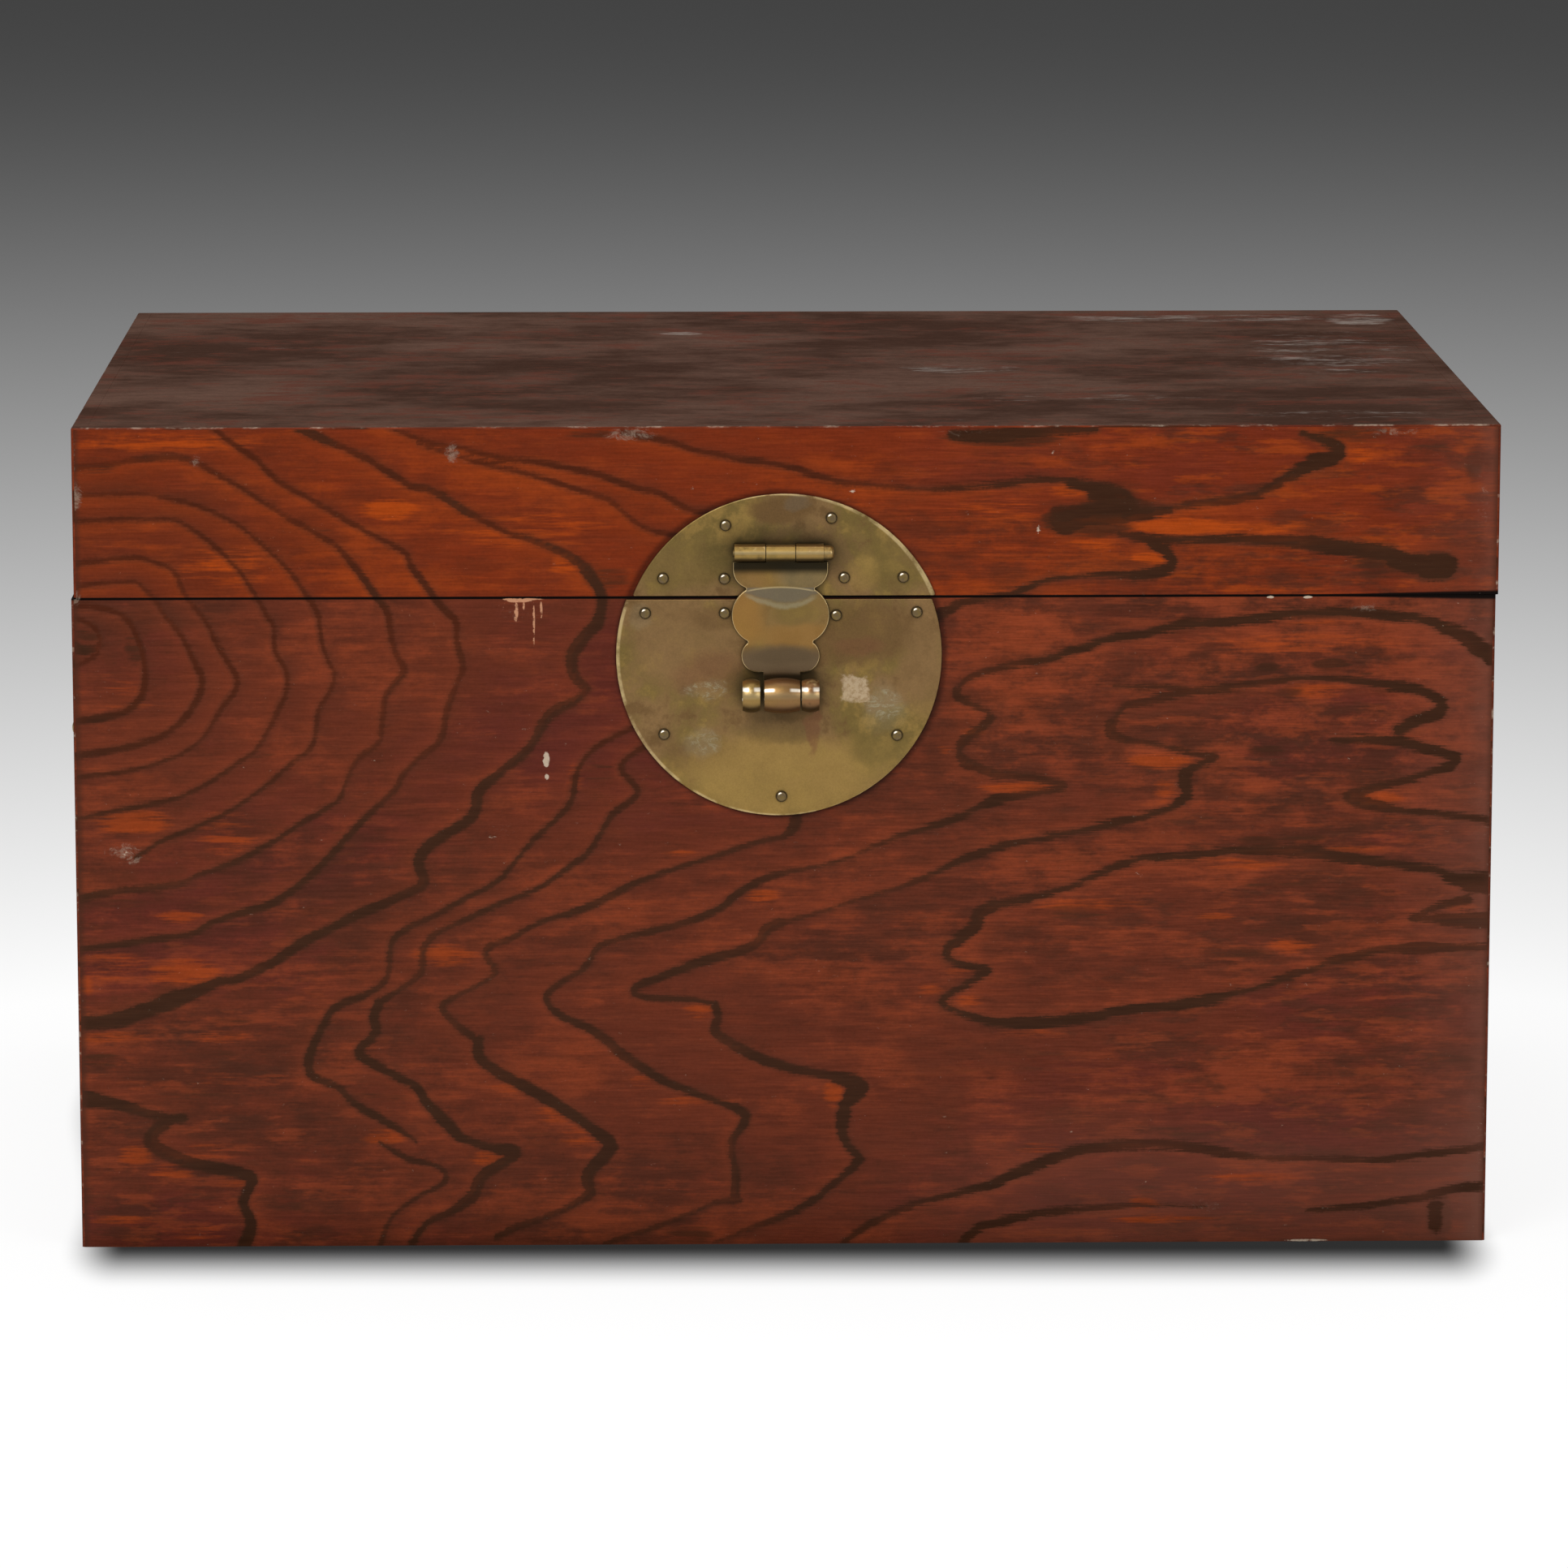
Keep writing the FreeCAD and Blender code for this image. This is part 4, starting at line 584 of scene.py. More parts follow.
def drawn_grain(look, fine, coarse, specks, right):
    """The drawn lines with ragged edges, the brown they fade into, and half their width in millimetres."""
    wander = look.noise((38, 1, 44), 2, 0.5, (4, 0, 4)) - 0.5
    gap = look.attribute("gap")
    signed = look.attribute("signed_gap")
    far = gap.rise(1.45, 2.2)
    to_line = gap * far + abs(signed + wander * 1.6) * (1 - far)
    swell = look.noise((17, 1, 24), 2, 0.5, (6, 0, 1)).rise(0.3, 0.7)
    half = look.attribute("half_width") * (0.62 + swell * 0.78)
    ragged = (coarse - 0.5) * (0.3 + right * 1.5) + (fine - 0.5) * (0.9 + right * 0.8) + specks * 1.7
    soft = 0.75 + signed.rise(0.6, -0.8) * 0.9
    line = (to_line - half + ragged).rise(soft, -0.7)
    depth = look.noise((12, 1, 20), 2, 0.5, (3, 0, 1)).rise(0.34, 0.56)
    line = line * (0.5 + depth * 0.3 + half.rise(0.7, 2.4) * 0.18)
    fringe = (to_line - half + ragged * 0.5).rise(2.8, 0) * (0.25 + depth * 0.25)
    return line, fringe, half


def front_lacquer():
    look = Look("front_lacquer")
    x, z = look.x, look.z
    fine, coarse = fibres(look)
    specks = look.noise((520, 1, 620), 2, 0.7, (5, 0, 2)) - 0.5
    mottle = look.noise((54, 1, 96), 4, 0.68, (8, 0, 5)) - 0.5
    cloud = look.noise((11, 1, 27), 4, 0.6, (7, 0, 3))
    right = x.rise(-0.05, 0.15)
    on_lid = above_split(look)
    line, fringe, half = drawn_grain(look, fine, coarse, specks, right)
    dusk = look.attribute("dark_side") * (0.2 + coarse * 0.4)
    streak = (coarse - 0.5) * 0.4 + (fine - 0.5) * 0.2 + mottle * 0.5
    hatch = 0.92 + streak * 1.5
    dark_patch = (look.attribute("dark") * hatch + streak).rise(0.16, 0.95)
    warm_patch = (look.attribute("warm") * hatch + streak + (cloud - 0.5) * 0.4).rise(0.12, 0.9)

    base = look.mix(CARCASS_RED, LID_RED, on_lid)
    warm = look.mix(CARCASS_WARM, LID_WARM, on_lid)
    clouds = look.noise((5, 1, 9), 2, 0.5, (1, 0, 6)), look.noise((4, 1, 11), 3, 0.5, (2, 0, 9)), cloud
    shares = 0.75 - on_lid * 0.35, 0.6 - on_lid * (1 - right) * 0.3, 0.62 - on_lid * 0.22
    tone = mottled(look, base, warm, clouds, mottle, coarse, shares)
    low_left = x.rise(-0.16, -0.3) * z.rise(0.24, 0.12)
    busy = 0.25 + look.larger(x.rise(0.08, 0.24), low_left) * 0.75
    smudges = (look.noise((26, 1, 92), 4, 0.62, (3, 0, 8)) + (coarse - 0.5) * 0.1).rise(0.5, 0.63)
    flecks = (look.noise((30, 1, 105), 4, 0.62, (9, 0, 2)) + (coarse - 0.5) * 0.1).rise(0.51, 0.65)
    loops = x.rise(0.06, 0.14) * z.rise(0.24, 0.29) * (1 - on_lid)
    tone = look.laid(
        tone,
        (DEEP_BROWN, smudges * busy * 0.62),
        (warm, flecks * busy * 0.55),
        (CARCASS_WARM, loops * (cloud + mottle * 0.9).rise(0.4, 0.66) * 0.55),
        (warm, look.attribute("bright_side") * (0.15 + cloud * 0.5)),
        (HALO_ORANGE, warm_patch * (0.5 + on_lid * 0.35)),
        (DEEP_BROWN, look.larger(dusk, fringe, dark_patch * 0.5)),
        (GRAIN_BROWN, dark_patch * 0.68))
    # painted light: the front is lightened towards its foot, against the shade there
    lift = z.rise(0.1, 0) * (0.06 + right * 0.08)
    tone = look.shade(tone, 0.83 + lift + fine * (0.17 + right * 0.1) + coarse * 0.14
                      + mottle * 0.24 + specks * 0.3)

    rim = x + mottle * 0.03
    haze = rim.rise(0.33, 0.41) * (0.42 - on_lid * 0.14) + rim.rise(0.384, 0.398) * 0.26
    low_right = x.rise(0.02, 0.2) * z.rise(0.1, 0.03) * (1 - warm_patch * 0.9)
    thin = (1 - right) * half.rise(2.2, 1.3) * z.rise(0.22, 0.34)
    grain = look.shade(look.mix(GRAIN_BROWN, GRAIN_RED, thin), 0.84 + coarse * 0.2 + fine * 0.2)
    ends = abs(x - 0.0006 - on_lid * 0.0010).rise(0.3945, 0.3988)
    feet = z.rise(0.003, 0) * 0.35
    off_plate = look.distance(x - PLATE_X, z - PLATE_Z)
    wisps = look.noise((130, 1, 200), 5, 0.8, (2, 0, 7), distortion=2) - 0.5
    smeared = (look.attribute("smeared") + wisps * 2.6 + mottle * 0.6).rise(0.45, 1.15)
    crumbs = look.noise((230, 1, 330), 4, 0.75, (1, 0, 8)) - 0.5
    thin_chips = look.patches(x / MM - TRUNK_LEFT + crumbs * 1.6, z / MM, THIN_CHIPS)
    chipped = look.larger((look.attribute("chipped") + crumbs * 2.2).rise(0.42, 0.72),
                          (thin_chips + crumbs * 2.2).rise(0.38, 0.78))
    on_drips = z.rise(0.33, 0.34) * x.rise(-0.11, -0.12)
    tone = look.laid(
        tone,
        (EDGE_BROWN, haze + low_right * (0.26 + cloud * 0.2)),
        (grain, line),
        (DEEP_BROWN, look.larger(ends, feet) * 0.7),
        # painted shadow on the wood round the lock plate's rim
        (SEAM_SHADOW, off_plate.rise(PLATE_R + 0.0035, PLATE_R) * 0.55),
        # painted shadow and dirt in the joint under the lid
        (SEAM_SHADOW, seam_shadow_and_dirt(look)),
        (SMEAR, smeared * 0.62),
        (look.mix(CHIP, DRIP, on_drips), chipped * (0.74 - on_drips * 0.06)))
    roughness = 0.38 + fine * 0.1 + line * 0.08 + chipped * 0.3 + smeared * 0.15
    pores = look.bumped(fine * 0.6 + coarse * 0.4 - line * 0.25, 0.0002, 0.3)
    return look.surface(tone, roughness, normal=pores, gloss=0, coat=0.1, coat_roughness=0.32)


def flame(look, across, place):
    """Darkness and glow of a board's own flame grain."""
    hills = look.noise((2.6, 7.5, 1), 2, 0.4, place=place)
    ripples = look.noise((14, 50, 1), 3, 0.6, (4, 2, 0), place)
    year = look.maths("FRACT", hills * 8 + across * 4.5 + ripples * 0.3)
    line = year.rise(0.80, 0.94) * year.rise(1.0, 0.97)
    thickness = look.noise((5, 12, 1), 2, 0.5, (8, 8, 0), place).rise(0.34, 0.56)
    return line * (0.3 + thickness * 0.65), year.rise(0.2, 0.0)


def lacquered(look, along, across, seed, fine, coarse):
    """Lacquer over a board's own flame grain, calmer than on the front."""
    place = look.together(along, across, seed)
    line, glow = flame(look, across, place)
    mottle = look.noise((42, 110, 1), 4, 0.62, (8, 5, 0), place) - 0.5
    clouds = (look.noise((5, 9, 1), 2, 0.5, (1, 6, 0), place),
              look.noise((4, 11, 1), 3, 0.5, (2, 9, 0), place),
              look.noise((9, 34, 1), 4, 0.6, (7, 3, 0), place))
    base = look.mix(CARCASS_RED, LID_RED, above_split(look) * 0.7)
    tone = mottled(look, base, CARCASS_WARM, clouds, mottle, coarse, (0.6, 0.55, 0.6))
    tone = look.mix(tone, CARCASS_WARM, glow * 0.45)
    tone = look.shade(tone, 0.83 + fine * 0.2 + coarse * 0.16 + mottle * 0.24)
    return look.mix(tone, GRAIN_BROWN, line * 0.9), line


def bare_wood(look, fine, coarse):
    age = look.noise((2.4, 6, 6), 4, 0.55, (9, 2, 1))
    tone = look.mix(BARE_WOOD, BARE_DARK, (age + (coarse - 0.5) * 0.16).rise(0.36, 0.76) * 0.8)
    return look.shade(tone, 0.8 + fine * 0.2 + coarse * 0.14)


# Whitish wear of the lid's top, in metres: middle and reach across and in depth, and strength
TOP_WEAR = [
    (0.335, 0.06, 0.07, 0.17, 0.62), (0.27, 0.235, 0.14, 0.03, 0.7), (0.11, -0.02, 0.05, 0.035, 0.6),
    (0.17, -0.16, 0.1, 0.03, 0.5), (-0.055, 0.16, 0.02, 0.012, 0.9), (0.37, 0.23, 0.03, 0.05, 0.8),
    (-0.27, 0.262, 0.09, 0.012, 0.55), (-0.3, 0.1, 0.12, 0.1, 0.3), (0.32, -0.24, 0.08, 0.035, 0.55),
    (0, -0.26, 0.2, 0.012, 0.4),
]


def worn_top(look, fine, coarse):
    """The dark worn lacquer of the lid's top, with its whitish scuffs."""
    broad = look.noise((6, 10, 1), 4, 0.6, (1, 4, 0))
    cloud = look.noise((20, 34, 1), 4, 0.68, (6, 2, 0))
    marks = look.noise((75, 130, 1), 3, 0.7, (2, 7, 0)) - 0.5
    specks = look.noise((420, 420, 1), 2, 0.7, (5, 2, 0)) - 0.5
    smear = look.noise((26, 75, 1), 5, 0.78, (3, 9, 0))
    tone = look.laid(TOP_BROWN, (TOP_LIGHT, (broad + (cloud - 0.5) * 0.6).rise(0.34, 0.7)),
                     (TOP_RED, (cloud + marks * 0.4).rise(0.5, 0.66) * 0.6))
    tone = look.shade(tone, 0.84 + fine * 0.16 + coarse * 0.12 + marks * 0.34 + specks * 0.5)
    worn = (look.patches(look.x, look.y, TOP_WEAR) + (smear - 0.5) * 2.4).rise(0.55, 1.15)
    return look.mix(tone, TOP_SCUFF, worn * 0.55), worn


def near_faces(look, deep, shallow):
    """From 0 deep under the outside of the ends, and of the front and back, to 1 shallow under it."""
    return [abs(at).rise(half - deep, half - shallow)
            for at, half in ((look.x, HALF_WIDTH), (look.y, HALF_DEPTH))]


def board_finish(name, has_top):
    """Lacquer outside and bare wood inside, for the upright boards and, with has_top, for the lid."""
    look = Look(name)
    x, y, z = look.x, look.y, look.z
    fine_x, coarse_x = fibres(look, "x")
    fine_y, coarse_y = fibres(look, "y")
    end = abs(look.facing_x).rise(0.6, 0.8)
    fine, coarse, along = [long * (1 - end) + short * end
                           for long, short in ((fine_x, fine_y), (coarse_x, coarse_y), (x, y))]
    seed = end * 3 + y.rise(-0.01, 0.01) * (1 - end) * 1.7 + x.rise(-0.01, 0.01) * end * 0.9
    tone, line = lacquered(look, along, z, seed, fine, coarse)
    # painted shadow and dirt in the joint under the lid
    tone = look.mix(tone, SEAM_SHADOW, seam_shadow_and_dirt(look))
    skin = look.larger(*near_faces(look, 0.0025, 0.0015))
    edge_wear = look.noise((60, 60, 120), 4, 0.7, (2, 6, 3))
    rubbed = look.smaller(*near_faces(look, 0.0016, 0.0006)) * edge_wear.rise(0.56, 0.7)
    roughness = 0.62 + fine * 0.08
    on_top = 0
    if has_top:
        top_tone, worn = worn_top(look, fine_x, coarse_x)
        on_top = look.facing_z.rise(0.55, 0.8) * z.rise(HEIGHT - 0.01, HEIGHT - 0.005)
        tone = look.mix(tone, top_tone, on_top)
        skin = look.larger(skin, z.rise(HEIGHT - 0.0025, HEIGHT - 0.0015))
        brim = look.facing_z.rise(0.1, 0.35) * look.facing_z.rise(0.96, 0.8)
        brim = brim * z.rise(HEIGHT - 0.0018, HEIGHT - 0.0008)
        rubbed = look.larger(rubbed, brim * edge_wear.rise(0.5, 0.7) * 0.8)
        roughness = roughness + on_top * 0.3 + worn * 0.1
    tone = look.laid(bare_wood(look, fine, coarse), (tone, skin), (CHIP, rubbed * 0.5))
    pores = look.bumped(fine * 0.6 + coarse * 0.4 - line * 0.2, 0.0003, 0.4)
    return look.surface(tone, roughness - skin * 0.24 + rubbed * 0.2, normal=pores, gloss=0,
                        coat=skin * 0.1 * (1 - on_top * 0.85), coat_roughness=0.34)


def bare_finish():
    look = Look("bare_wood")
    fine, coarse = fibres(look)
    grain = look.bumped(fine * 0.5 + coarse * 0.5, 0.0004, 0.5)
    return look.surface(bare_wood(look, fine, coarse), 0.66 + fine * 0.12, normal=grain, gloss=0.3)


# Brass and steel
OLIVE_BRASS = colour(124, 103, 56)
GOLD_BRASS = colour(162, 131, 72)
TAN_BRASS = colour(140, 109, 70)
BROWN_BRASS = colour(114, 86, 52)
RED_BRASS = colour(126, 84, 58)
DARK_BRASS = colour(56, 48, 31)
ORANGE_BRASS = colour(166, 121, 62)
BRIGHT_BRASS = colour(226, 200, 146)
SHADOW_BROWN = colour(34, 30, 19)
GREY_FILM_AND_REFLECTION = colour(118, 112, 98)
PALE_FILM_AND_REFLECTION = colour(168, 160, 130)
RUBBED = colour(184, 162, 130)
STEEL = colour(112, 94, 66)
GLINT = colour(255, 246, 228)

# Films on the lock plate, in metres: middle and reach across and up, colour and strength. The dark brass
# ones round the hinge barrel and round the lock are painted shade.
PLATE_FILMS_AND_SHADE = [
    (-0.058, 0.392, 0.036, 0.022, OLIVE_BRASS, 0.7), (0.064, 0.392, 0.028, 0.022, OLIVE_BRASS, 0.6),
    (0.044, 0.386, 0.013, 0.014, GOLD_BRASS, 0.5), (-0.003, 0.424, 0.022, 0.01, BROWN_BRASS, 0.9),
    (0.006, 0.427, 0.008, 0.005, GREY_FILM_AND_REFLECTION, 0.25), (-0.055, 0.346, 0.042, 0.03, TAN_BRASS, 0.7),
    (-0.042, 0.328, 0.026, 0.018, RED_BRASS, 0.45), (0.045, 0.352, 0.046, 0.022, BROWN_BRASS, 0.75),
    (0.042, 0.345, 0.02, 0.006, RED_BRASS, 0.45), (0.056, 0.31, 0.016, 0.018, PALE_FILM_AND_REFLECTION, 0.12),
    (0.078, 0.336, 0.016, 0.04, TAN_BRASS, 0.6), (-0.047, 0.284, 0.028, 0.014, BROWN_BRASS, 0.55),
    (0, 0.27, 0.074, 0.032, GOLD_BRASS, 0.8), (0.012, 0.398, 0.016, 0.01, GREY_FILM_AND_REFLECTION, 0.3),
    (0.052, 0.286, 0.02, 0.012, OLIVE_BRASS, 0.6), (-0.002, 0.396, 0.05, 0.024, DARK_BRASS, 0.5),
    (-0.002, 0.397, 0.034, 0.01, DARK_BRASS, 0.7), (-0.002, 0.322, 0.032, 0.024, DARK_BRASS, 0.55),
    (-0.002, 0.298, 0.026, 0.01, DARK_BRASS, 0.35), (-0.002, 0.33, 0.022, 0.006, DARK_BRASS, 0.7),
    (0.016, 0.3, 0.0035, 0.02, RED_BRASS, 0.6), (-0.048, 0.291, 0.013, 0.01, PALE_FILM_AND_REFLECTION, 0.1),
    (-0.0812, 0.364, 0.009, 0.009, PALE_FILM_AND_REFLECTION, 0.12), (-0.036, 0.362, 0.02, 0.008, BROWN_BRASS, 0.5),
]
# Films on the hasp, in the same terms but from its own middle
HASP_FILMS = [
    (-0.01, 0.386, 0.016, 0.008, ORANGE_BRASS, 0.3), (0.012, 0.386, 0.02, 0.01, GREY_FILM_AND_REFLECTION, 0.35),
    (-0.023, 0.361, 0.017, 0.021, ORANGE_BRASS, 0.75), (0.008, 0.3515, 0.028, 0.009, ORANGE_BRASS, 0.55),
    (0.008, 0.364, 0.016, 0.008, OLIVE_BRASS, 0.5), (0, 0.336, 0.05, 0.0125, BROWN_BRASS, 0.95),
    (0, 0.3365, 0.04, 0.0115, GREY_FILM_AND_REFLECTION, 0.3), (0.002, 0.34, 0.022, 0.006, DARK_BRASS, 0.2),
]
# Pale wisps on the lock plate, and its rubbed square, in the same terms
PLATE_WISPS = [
    (-0.045, 0.319, 0.017, 0.007, 1), (0.056, 0.312, 0.013, 0.011, 1), (-0.046, 0.292, 0.013, 0.008, 0.7)]
SQUARE_X, SQUARE_Z, SQUARE_WIDE, SQUARE_TALL = 0.0393, 0.3213, 0.0082, 0.0072


def occlusion_shade(look, reach):
    """Painted shade in the corners that pieces form with each other, from ambient occlusion: 0 in the open
    to 1 deep inside.
    """
    node = look.node("ShaderNodeAmbientOcclusion", {"samples": 8}, {"Distance": reach})
    return Number(look, node.outputs["AO"]).rise(0.95, 0.35)


def tarnish(look, shift=(0, 0, 0)):
    """Mottled old brass: olive, tan and brown films that run into each other."""
    clouds = look.noise(15, 4, 0.6, shift, distortion=0.8)
    spots = look.noise(70, 5, 0.65, (4, 4, 9))
    tone = look.laid(TAN_BRASS, (OLIVE_BRASS, (clouds + (spots - 0.5) * 0.3).rise(0.4, 0.6)),
                     (GOLD_BRASS, (spots + (clouds - 0.5) * 0.6).rise(0.5, 0.68) * 0.7),
                     (BROWN_BRASS, (spots + (clouds - 0.5) * 0.5).rise(0.48, 0.32) * 0.8))
    return tone, spots


def plate_finish():
    look = Look("plate_brass")
    tone, spots = tarnish(look)
    drift = look.noise(38, 4, 0.6, (1, 7, 2)) - 0.5
    drift_up = look.noise(38, 4, 0.6, (6, 2, 5)) - 0.5
    across, up = look.x + drift * 0.022, look.z + drift_up * 0.018
    # films of tarnish, with painted shade under the hinge barrel and round the lock
    tone = look.films(tone, across, up, PLATE_FILMS_AND_SHADE)
    grit = look.noise(1100, 2, 0.7)
    blotches = look.noise(30, 5, 0.7, (9, 1, 4), distortion=1)
    tone = look.shade(tone, 0.56 + grit * 0.42 + blotches * 0.5)
    scratch = look.noise((300, 1, 520), 4, 0.8, (2, 0, 5)) - 0.5
    square = look.larger(abs(look.x + drift * 0.012 - SQUARE_X) / SQUARE_WIDE,
                         abs(look.z + drift_up * 0.012 - SQUARE_Z) / SQUARE_TALL)
    square = (square + scratch * 0.9).rise(1.1, 0.8)
    wisps = look.noise((90, 1, 170), 5, 0.8, (2, 0, 5), distortion=2.5) - 0.5
    wisp = look.patches(across, up, PLATE_WISPS) * (0.15 + wisps.rise(0, 0.12) * 0.85)
    pits = look.noise((420, 1, 420), 3, 0.7, (4, 0, 4)).rise(0.42, 0.62)
    # painted highlight along the plate's rim
    rim = look.distance(look.x - PLATE_X, look.z - PLATE_Z).rise(PLATE_R - 0.0014, PLATE_R - 0.0004)
    tone = look.laid(tone, (PALE_FILM_AND_REFLECTION, wisp * 0.7),
                     (look.mix(RUBBED, TAN_BRASS, pits * 0.6), square * 0.85),
                     (BRIGHT_BRASS, rim * spots.rise(0.35, 0.6) * 0.6),
                     # painted shade in the corners round the hasp, barrels and nails
                     (DARK_BRASS, occlusion_shade(look, 0.008) * 0.9),
                     # painted shadow in the plate's split
                     (SEAM_SHADOW, abs(look.z - SPLIT).rise(0.0012, 0.0005)))
    brushed = look.noise((40, 1, 1600), 2, 0.6)
    normal = look.bumped(brushed * 0.3 + spots * 0.5, 0.00012, 0.5)
    dents = look.bumped(look.noise(30, 2, 0.5), 0.0012, 0.25, normal)
    return look.surface(tone, 0.4 + spots * 0.16 + square * 0.2, 0.88 - square * 0.5, dents)


def barrel_shading(look, tone):
    """Barrels with painted light: painted shade below and along the top, and a painted highlight line along
    them just above their middle.
    """
    facing = look.facing_z
    return look.laid(tone, (DARK_BRASS, facing.rise(-0.2, -0.75) * 0.8),
                     (BRIGHT_BRASS, abs(facing - 0.15).rise(0.3, 0.02) * 0.5),
                     (BROWN_BRASS, facing.rise(0.65, 0.95) * 0.6))


def hasp_finish():
    look = Look("hasp_brass")
    tone, spots = tarnish(look, (5, 3, 1))
    tone = look.mix(tone, GOLD_BRASS, 0.35)
    drift = look.noise(60, 4, 0.6, (1, 7, 2)) - 0.5
    across, up = look.x - HASP_X, look.z
    tone = look.films(tone, across + drift * 0.01, up + drift * 0.006, HASP_FILMS)
    # Painted reflection: a grey crescent over the middle lobe with a pale rim, and a painted highlight
    # along the upper lobe's lower edge
    bowed = look.maths("SQRT", (across - 0.001) * (across - 0.001) + 0.00003)
    past_reflection_edge = up - 0.3666 - bowed * 0.38 + drift * 0.008
    below_top = up.rise(0.3795, 0.3785)
    reflection_rim = abs(past_reflection_edge + 0.0006).rise(0.0022, 0.0002) * below_top * abs(across).rise(0.022, 0.016)
    lobe_highlight = abs(up - 0.3792 + across * across * 6).rise(0.0007, 0.0002)
    tone = look.laid(tone, (GREY_FILM_AND_REFLECTION, past_reflection_edge.rise(-0.0006, 0.0026) * below_top * 0.7),
                     (PALE_FILM_AND_REFLECTION, reflection_rim * 0.5),
                     (BRIGHT_BRASS, lobe_highlight * abs(across).rise(0.021, 0.016) * 0.45))
    grit = look.noise(1500, 2, 0.7)
    tone = look.shade(tone, 0.84 + grit * 0.34)
    on_sheet = look.y.rise(-0.2870, -0.2862)
    on_barrel = up.rise(0.331, 0.3295) * (1 - on_sheet)
    # painted highlight dashes on the upper front of the lock's barrel
    dash = abs(look.facing_z - 0.46).rise(0.13, 0.04) * abs(across - 0.0007).rise(0.0036, 0.0055)
    # painted shade and highlight on the hasp's barrels
    tone = look.laid(barrel_shading(look, tone), (tone, on_sheet),
                     # painted shadow under the hinge barrel and over the lock's barrel
                     (SHADOW_BROWN, up.rise(0.3850, 0.3902) * on_sheet * 0.95),
                     (SHADOW_BROWN, up.rise(0.3312, 0.3286) * on_sheet * 0.85),
                     # painted highlight on the hasp's edges
                     (BRIGHT_BRASS, abs(look.facing_y).rise(0.97, 0.8) * on_sheet),
                     # painted shade in the corners of the barrels and eyes
                     (DARK_BRASS, occlusion_shade(look, 0.004) * (1 - on_sheet) * 0.8),
                     (RED_BRASS, on_barrel * 0.45),
                     (GLINT, dash * on_barrel * 0.7))
    normal = look.bumped(spots, 0.00015, 0.5)
    dents = look.bumped(look.noise(55, 2, 0.5), 0.0009, 0.2, normal)
    return look.surface(tone, 0.32 + spots * 0.16, 0.9, dents)


def fittings_finish():
    look = Look("fittings_brass")
    tone, spots = tarnish(look, (2, 8, 4))
    at_lock = look.z.rise(0.332, 0.330) * look.z.rise(0.306, 0.308)
    grime = look.noise(140, 3, 0.6, (1, 1, 2))
    tone = look.laid(tone, (GOLD_BRASS, 0.5),
                     (RED_BRASS, look.x.rise(0.002, 0.012) * at_lock * 0.7),
                     (DARK_BRASS, grime.rise(0.54, 0.74) * 0.5))
    worn = grime.rise(0.46, 0.3) * look.facing_z.rise(-0.2, 0.3)
    off_eye = look.smaller(abs(look.x - RIGHT_EYE_X), abs(look.x - LEFT_EYE_X))
    # painted highlights on the lock's eyes
    glint = abs(look.facing_z - 0.5).rise(0.16, 0.05) * off_eye.rise(0.0008, 0.0022)
    # painted shade and highlight on the barrels, and painted shade in corners
    tone = look.laid(barrel_shading(look, tone), (DARK_BRASS, occlusion_shade(look, 0.004) * 0.8),
                     (BRIGHT_BRASS, worn * 0.5), (GLINT, glint * at_lock * 0.75))
    return look.surface(tone, 0.28 + spots * 0.2, 0.9, look.bumped(grime, 0.0003, 0.3))


def nail_finish():
    look = Look("nail_steel")
    rust = look.noise(420, 2, 0.5)
    # painted highlight toward the key lamp, and painted shade round the rim of each dome
    toward = look.facing_z * 0.42 - look.facing_x * 0.22 - look.facing_y * 0.88
    tone = look.laid(STEEL, (OLIVE_BRASS, rust.rise(0.4, 0.65) * 0.8),
                     (DARK_BRASS, abs(look.facing_y).rise(0.88, 0.5) * 0.8),
                     (GLINT, toward.rise(0.955, 0.992) * 0.8))
    return look.surface(tone, 0.42 + rust * 0.16, 0.8, look.bumped(rust, 0.0002, 0.5))


# Studio
FLOOR_REACH = 60
FLOOR_WHITE = (0.96, 0.96, 0.96, 1)
SHADOW_X, SHADOW_HALF_WIDTH, SHADOW_BACK_WIDER = -0.0015, 0.3735, 0.022


def set_floor():
    """A white floor that darkens far from the trunk, with a painted tight shadow at its foot."""
    bm = bmesh.new()
    bmesh.ops.create_circle(bm, cap_ends=True, segments=96, radius=FLOOR_REACH)
    look = Look("studio_floor")
    away = look.distance(look.x, look.y + 0.6)
    fall = look.maths("EXPONENT", look.larger(away - 1.10, 0) * -0.82)
    fall = look.maths("SQRT", fall + 0.003)
    back = look.y.rise(-0.2, 0.1)
    beside = abs(look.x - SHADOW_X) - SHADOW_HALF_WIDTH - back * SHADOW_BACK_WIDER
    before = abs(look.y) - HALF_DEPTH - look.x * 0.02
    off_foot = look.distance(look.larger(beside, 0) * (2.8 - back * 0.2),
                             look.larger(before, 0) * (1 + back * 0.8))
    shadow = 0.03 + off_foot.rise(0.008, 0.108) * 0.97
    tone = look.shade(FLOOR_WHITE, look.smaller(fall, 1) * shadow)
    lit = look.node("ShaderNodeBsdfDiffuse", values={"Color": tone})
    seen = look.node("ShaderNodeEmission", values={"Color": tone, "Strength": 1.05})
    ray = look.node("ShaderNodeLightPath")
    looked_at = look.larger(*[Number(look, ray.outputs[kind]) for kind in
                              ("Is Camera Ray", "Is Glossy Ray", "Is Transmission Ray")])
    both = look.node("ShaderNodeMixShader", values={0: looked_at * 0.85, 1: lit.outputs["BSDF"],
                                                    2: seen.outputs["Emission"]})
    look.node("ShaderNodeOutputMaterial", values={"Surface": both.outputs["Shader"]})
    add_piece("studio_floor", bm, look.material)


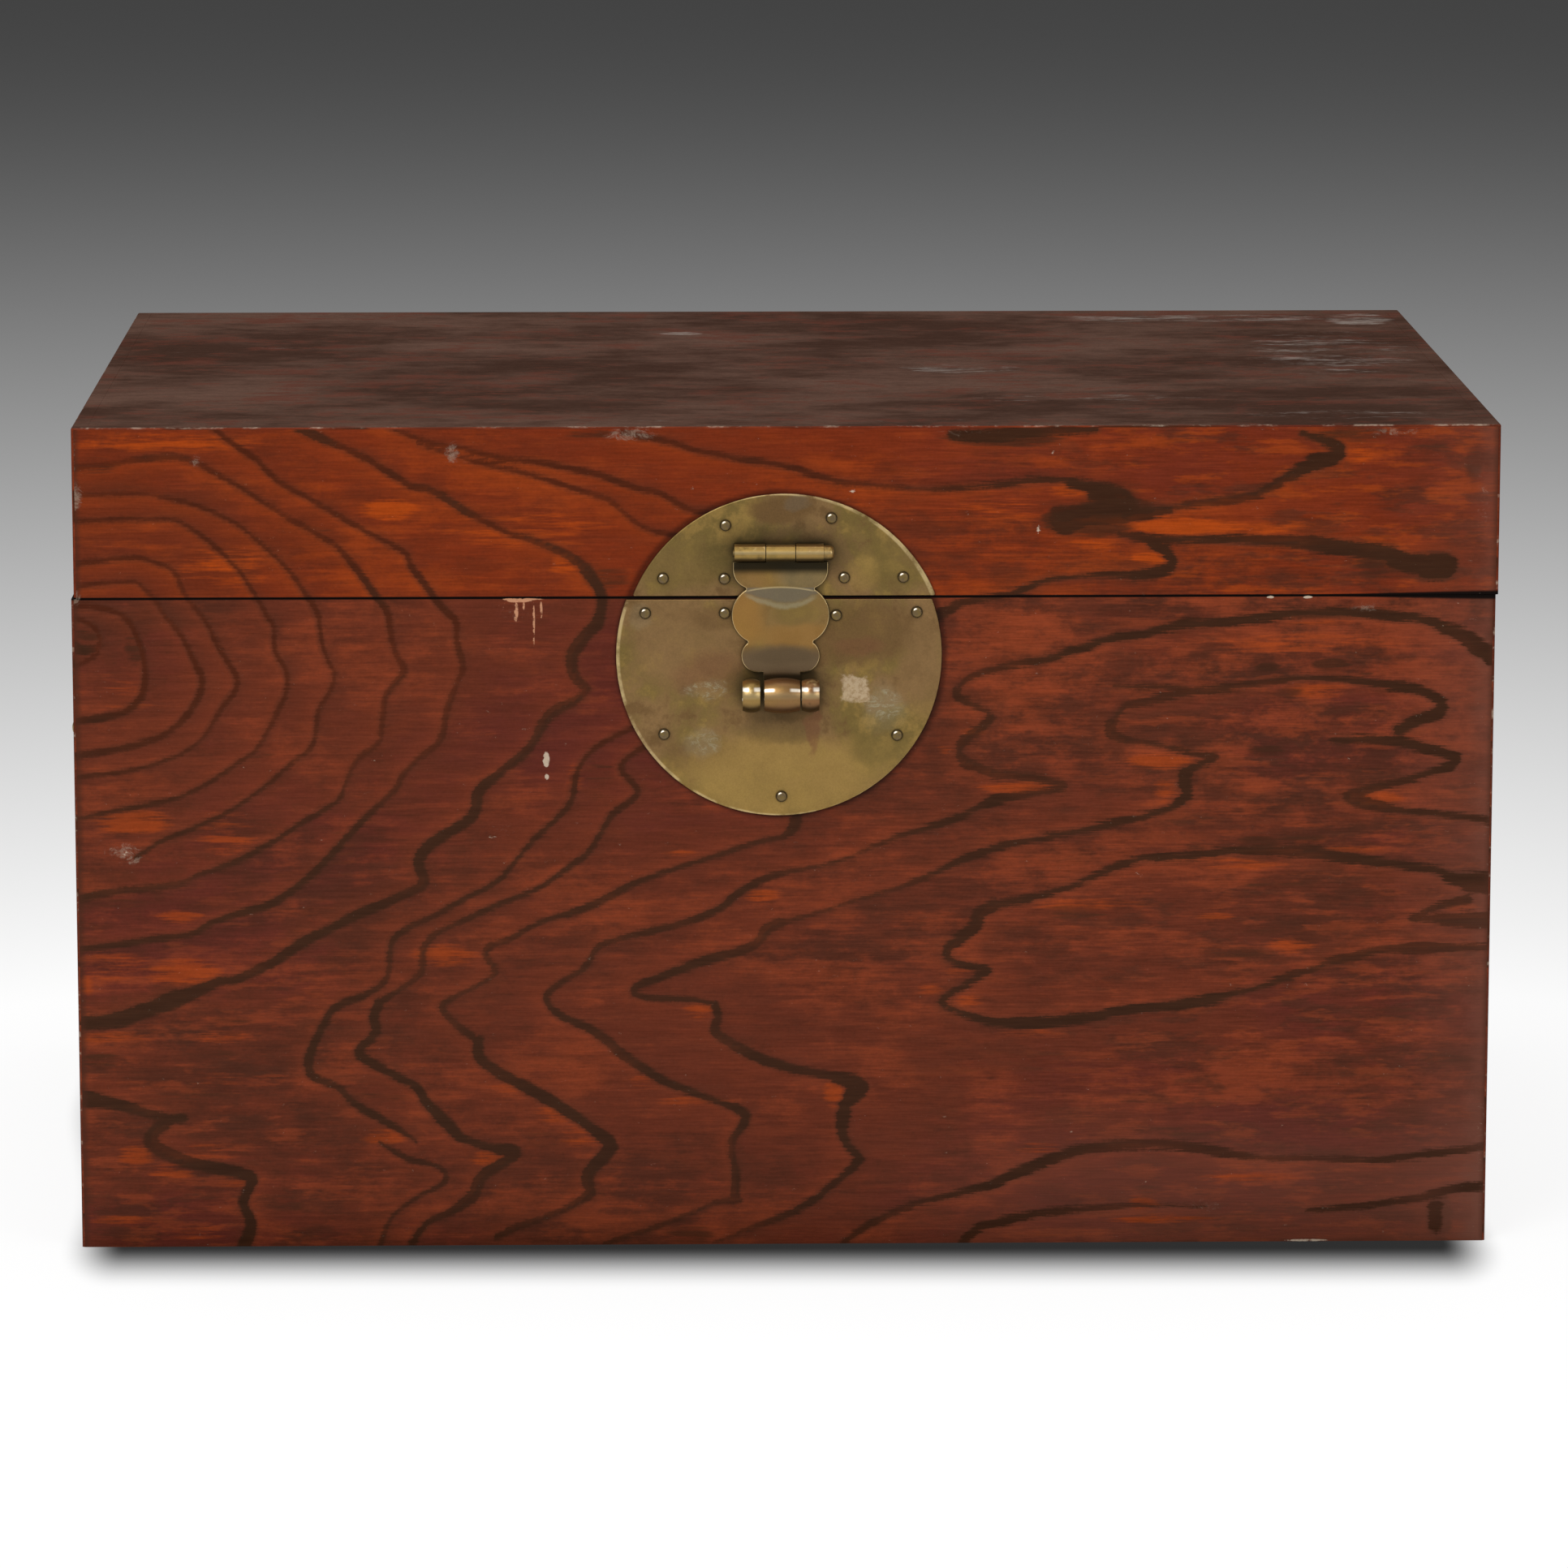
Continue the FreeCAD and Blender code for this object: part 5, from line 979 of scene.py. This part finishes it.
def set_lamp(name, place, aim, size, power):
    lamp = bpy.data.lights.new(name, "AREA")
    lamp.shape = "DISK"
    lamp.size = size
    lamp.energy = power
    holder = add_object(name, lamp)
    holder.location = place
    holder.rotation_euler = (Vector(aim) - Vector(place)).to_track_quat("-Z", "Y").to_euler()


def set_light():
    """A studio that is dark along the horizon and bright above, with three soft lamps."""
    world = bpy.data.worlds.new("studio")
    world.use_nodes = True
    sky = Shader(world.node_tree)
    height = sky.apart(sky.node("ShaderNodeTexCoord").outputs["Generated"])[2]
    level = sky.node("ShaderNodeMapRange", values={"Value": height, "From Min": 0.05, "From Max": 0.65,
                                                   "To Min": 0.1, "To Max": 0.66})
    glow = sky.node("ShaderNodeBackground", values={"Color": (1, 1, 1, 1),
                                                    "Strength": level.outputs["Result"]})
    sky.node("ShaderNodeOutputWorld", values={"Surface": glow.outputs["Background"]})
    bpy.context.scene.world = world
    set_lamp("key", (-1.4, -2.6, 2.6), (0, 0, 0.2), 2.0, 66)
    set_lamp("fill", (2.4, -2.6, 1.7), (0, 0, 0.2), 1.6, 22)
    set_lamp("overhead", (0, 0.4, 3.2), (0, 0, 0), 2.2, 22)
    bpy.context.scene.view_settings.view_transform = "Standard"


# Dressing of the frame
set_camera()
set_light()
set_floor()

grain = front_lacquer()
lacquer_film("carcass_front_lacquer", "front_board", "carcass", 0, grain)
lacquer_film("lid_front_lacquer", "lid_front_rail", "lid", EDGE_ROUND, grain)

carcass_boards = board_finish("carcass_lacquer", has_top=False)
lid_boards = board_finish("lid_lacquer", has_top=True)
bare = bare_finish()
plate = plate_finish()
hasp = hasp_finish()
fittings = fittings_finish()
nail = nail_finish()


def finish_for(node):
    if node in ("front_board", "back_board", "left_side_board", "right_side_board"):
        return carcass_boards
    if node.startswith("lid_") and node.endswith(("rail", "top_board")):
        return lid_boards
    if node.endswith(("lip", "bottom_board")):
        return bare
    if node.endswith("lock_plate"):
        return plate
    if node.endswith("nails"):
        return nail
    return hasp if node == "hasp" else fittings


for name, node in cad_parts.items():
    for slot in node.material_slots:
        slot.material = finish_for(name)
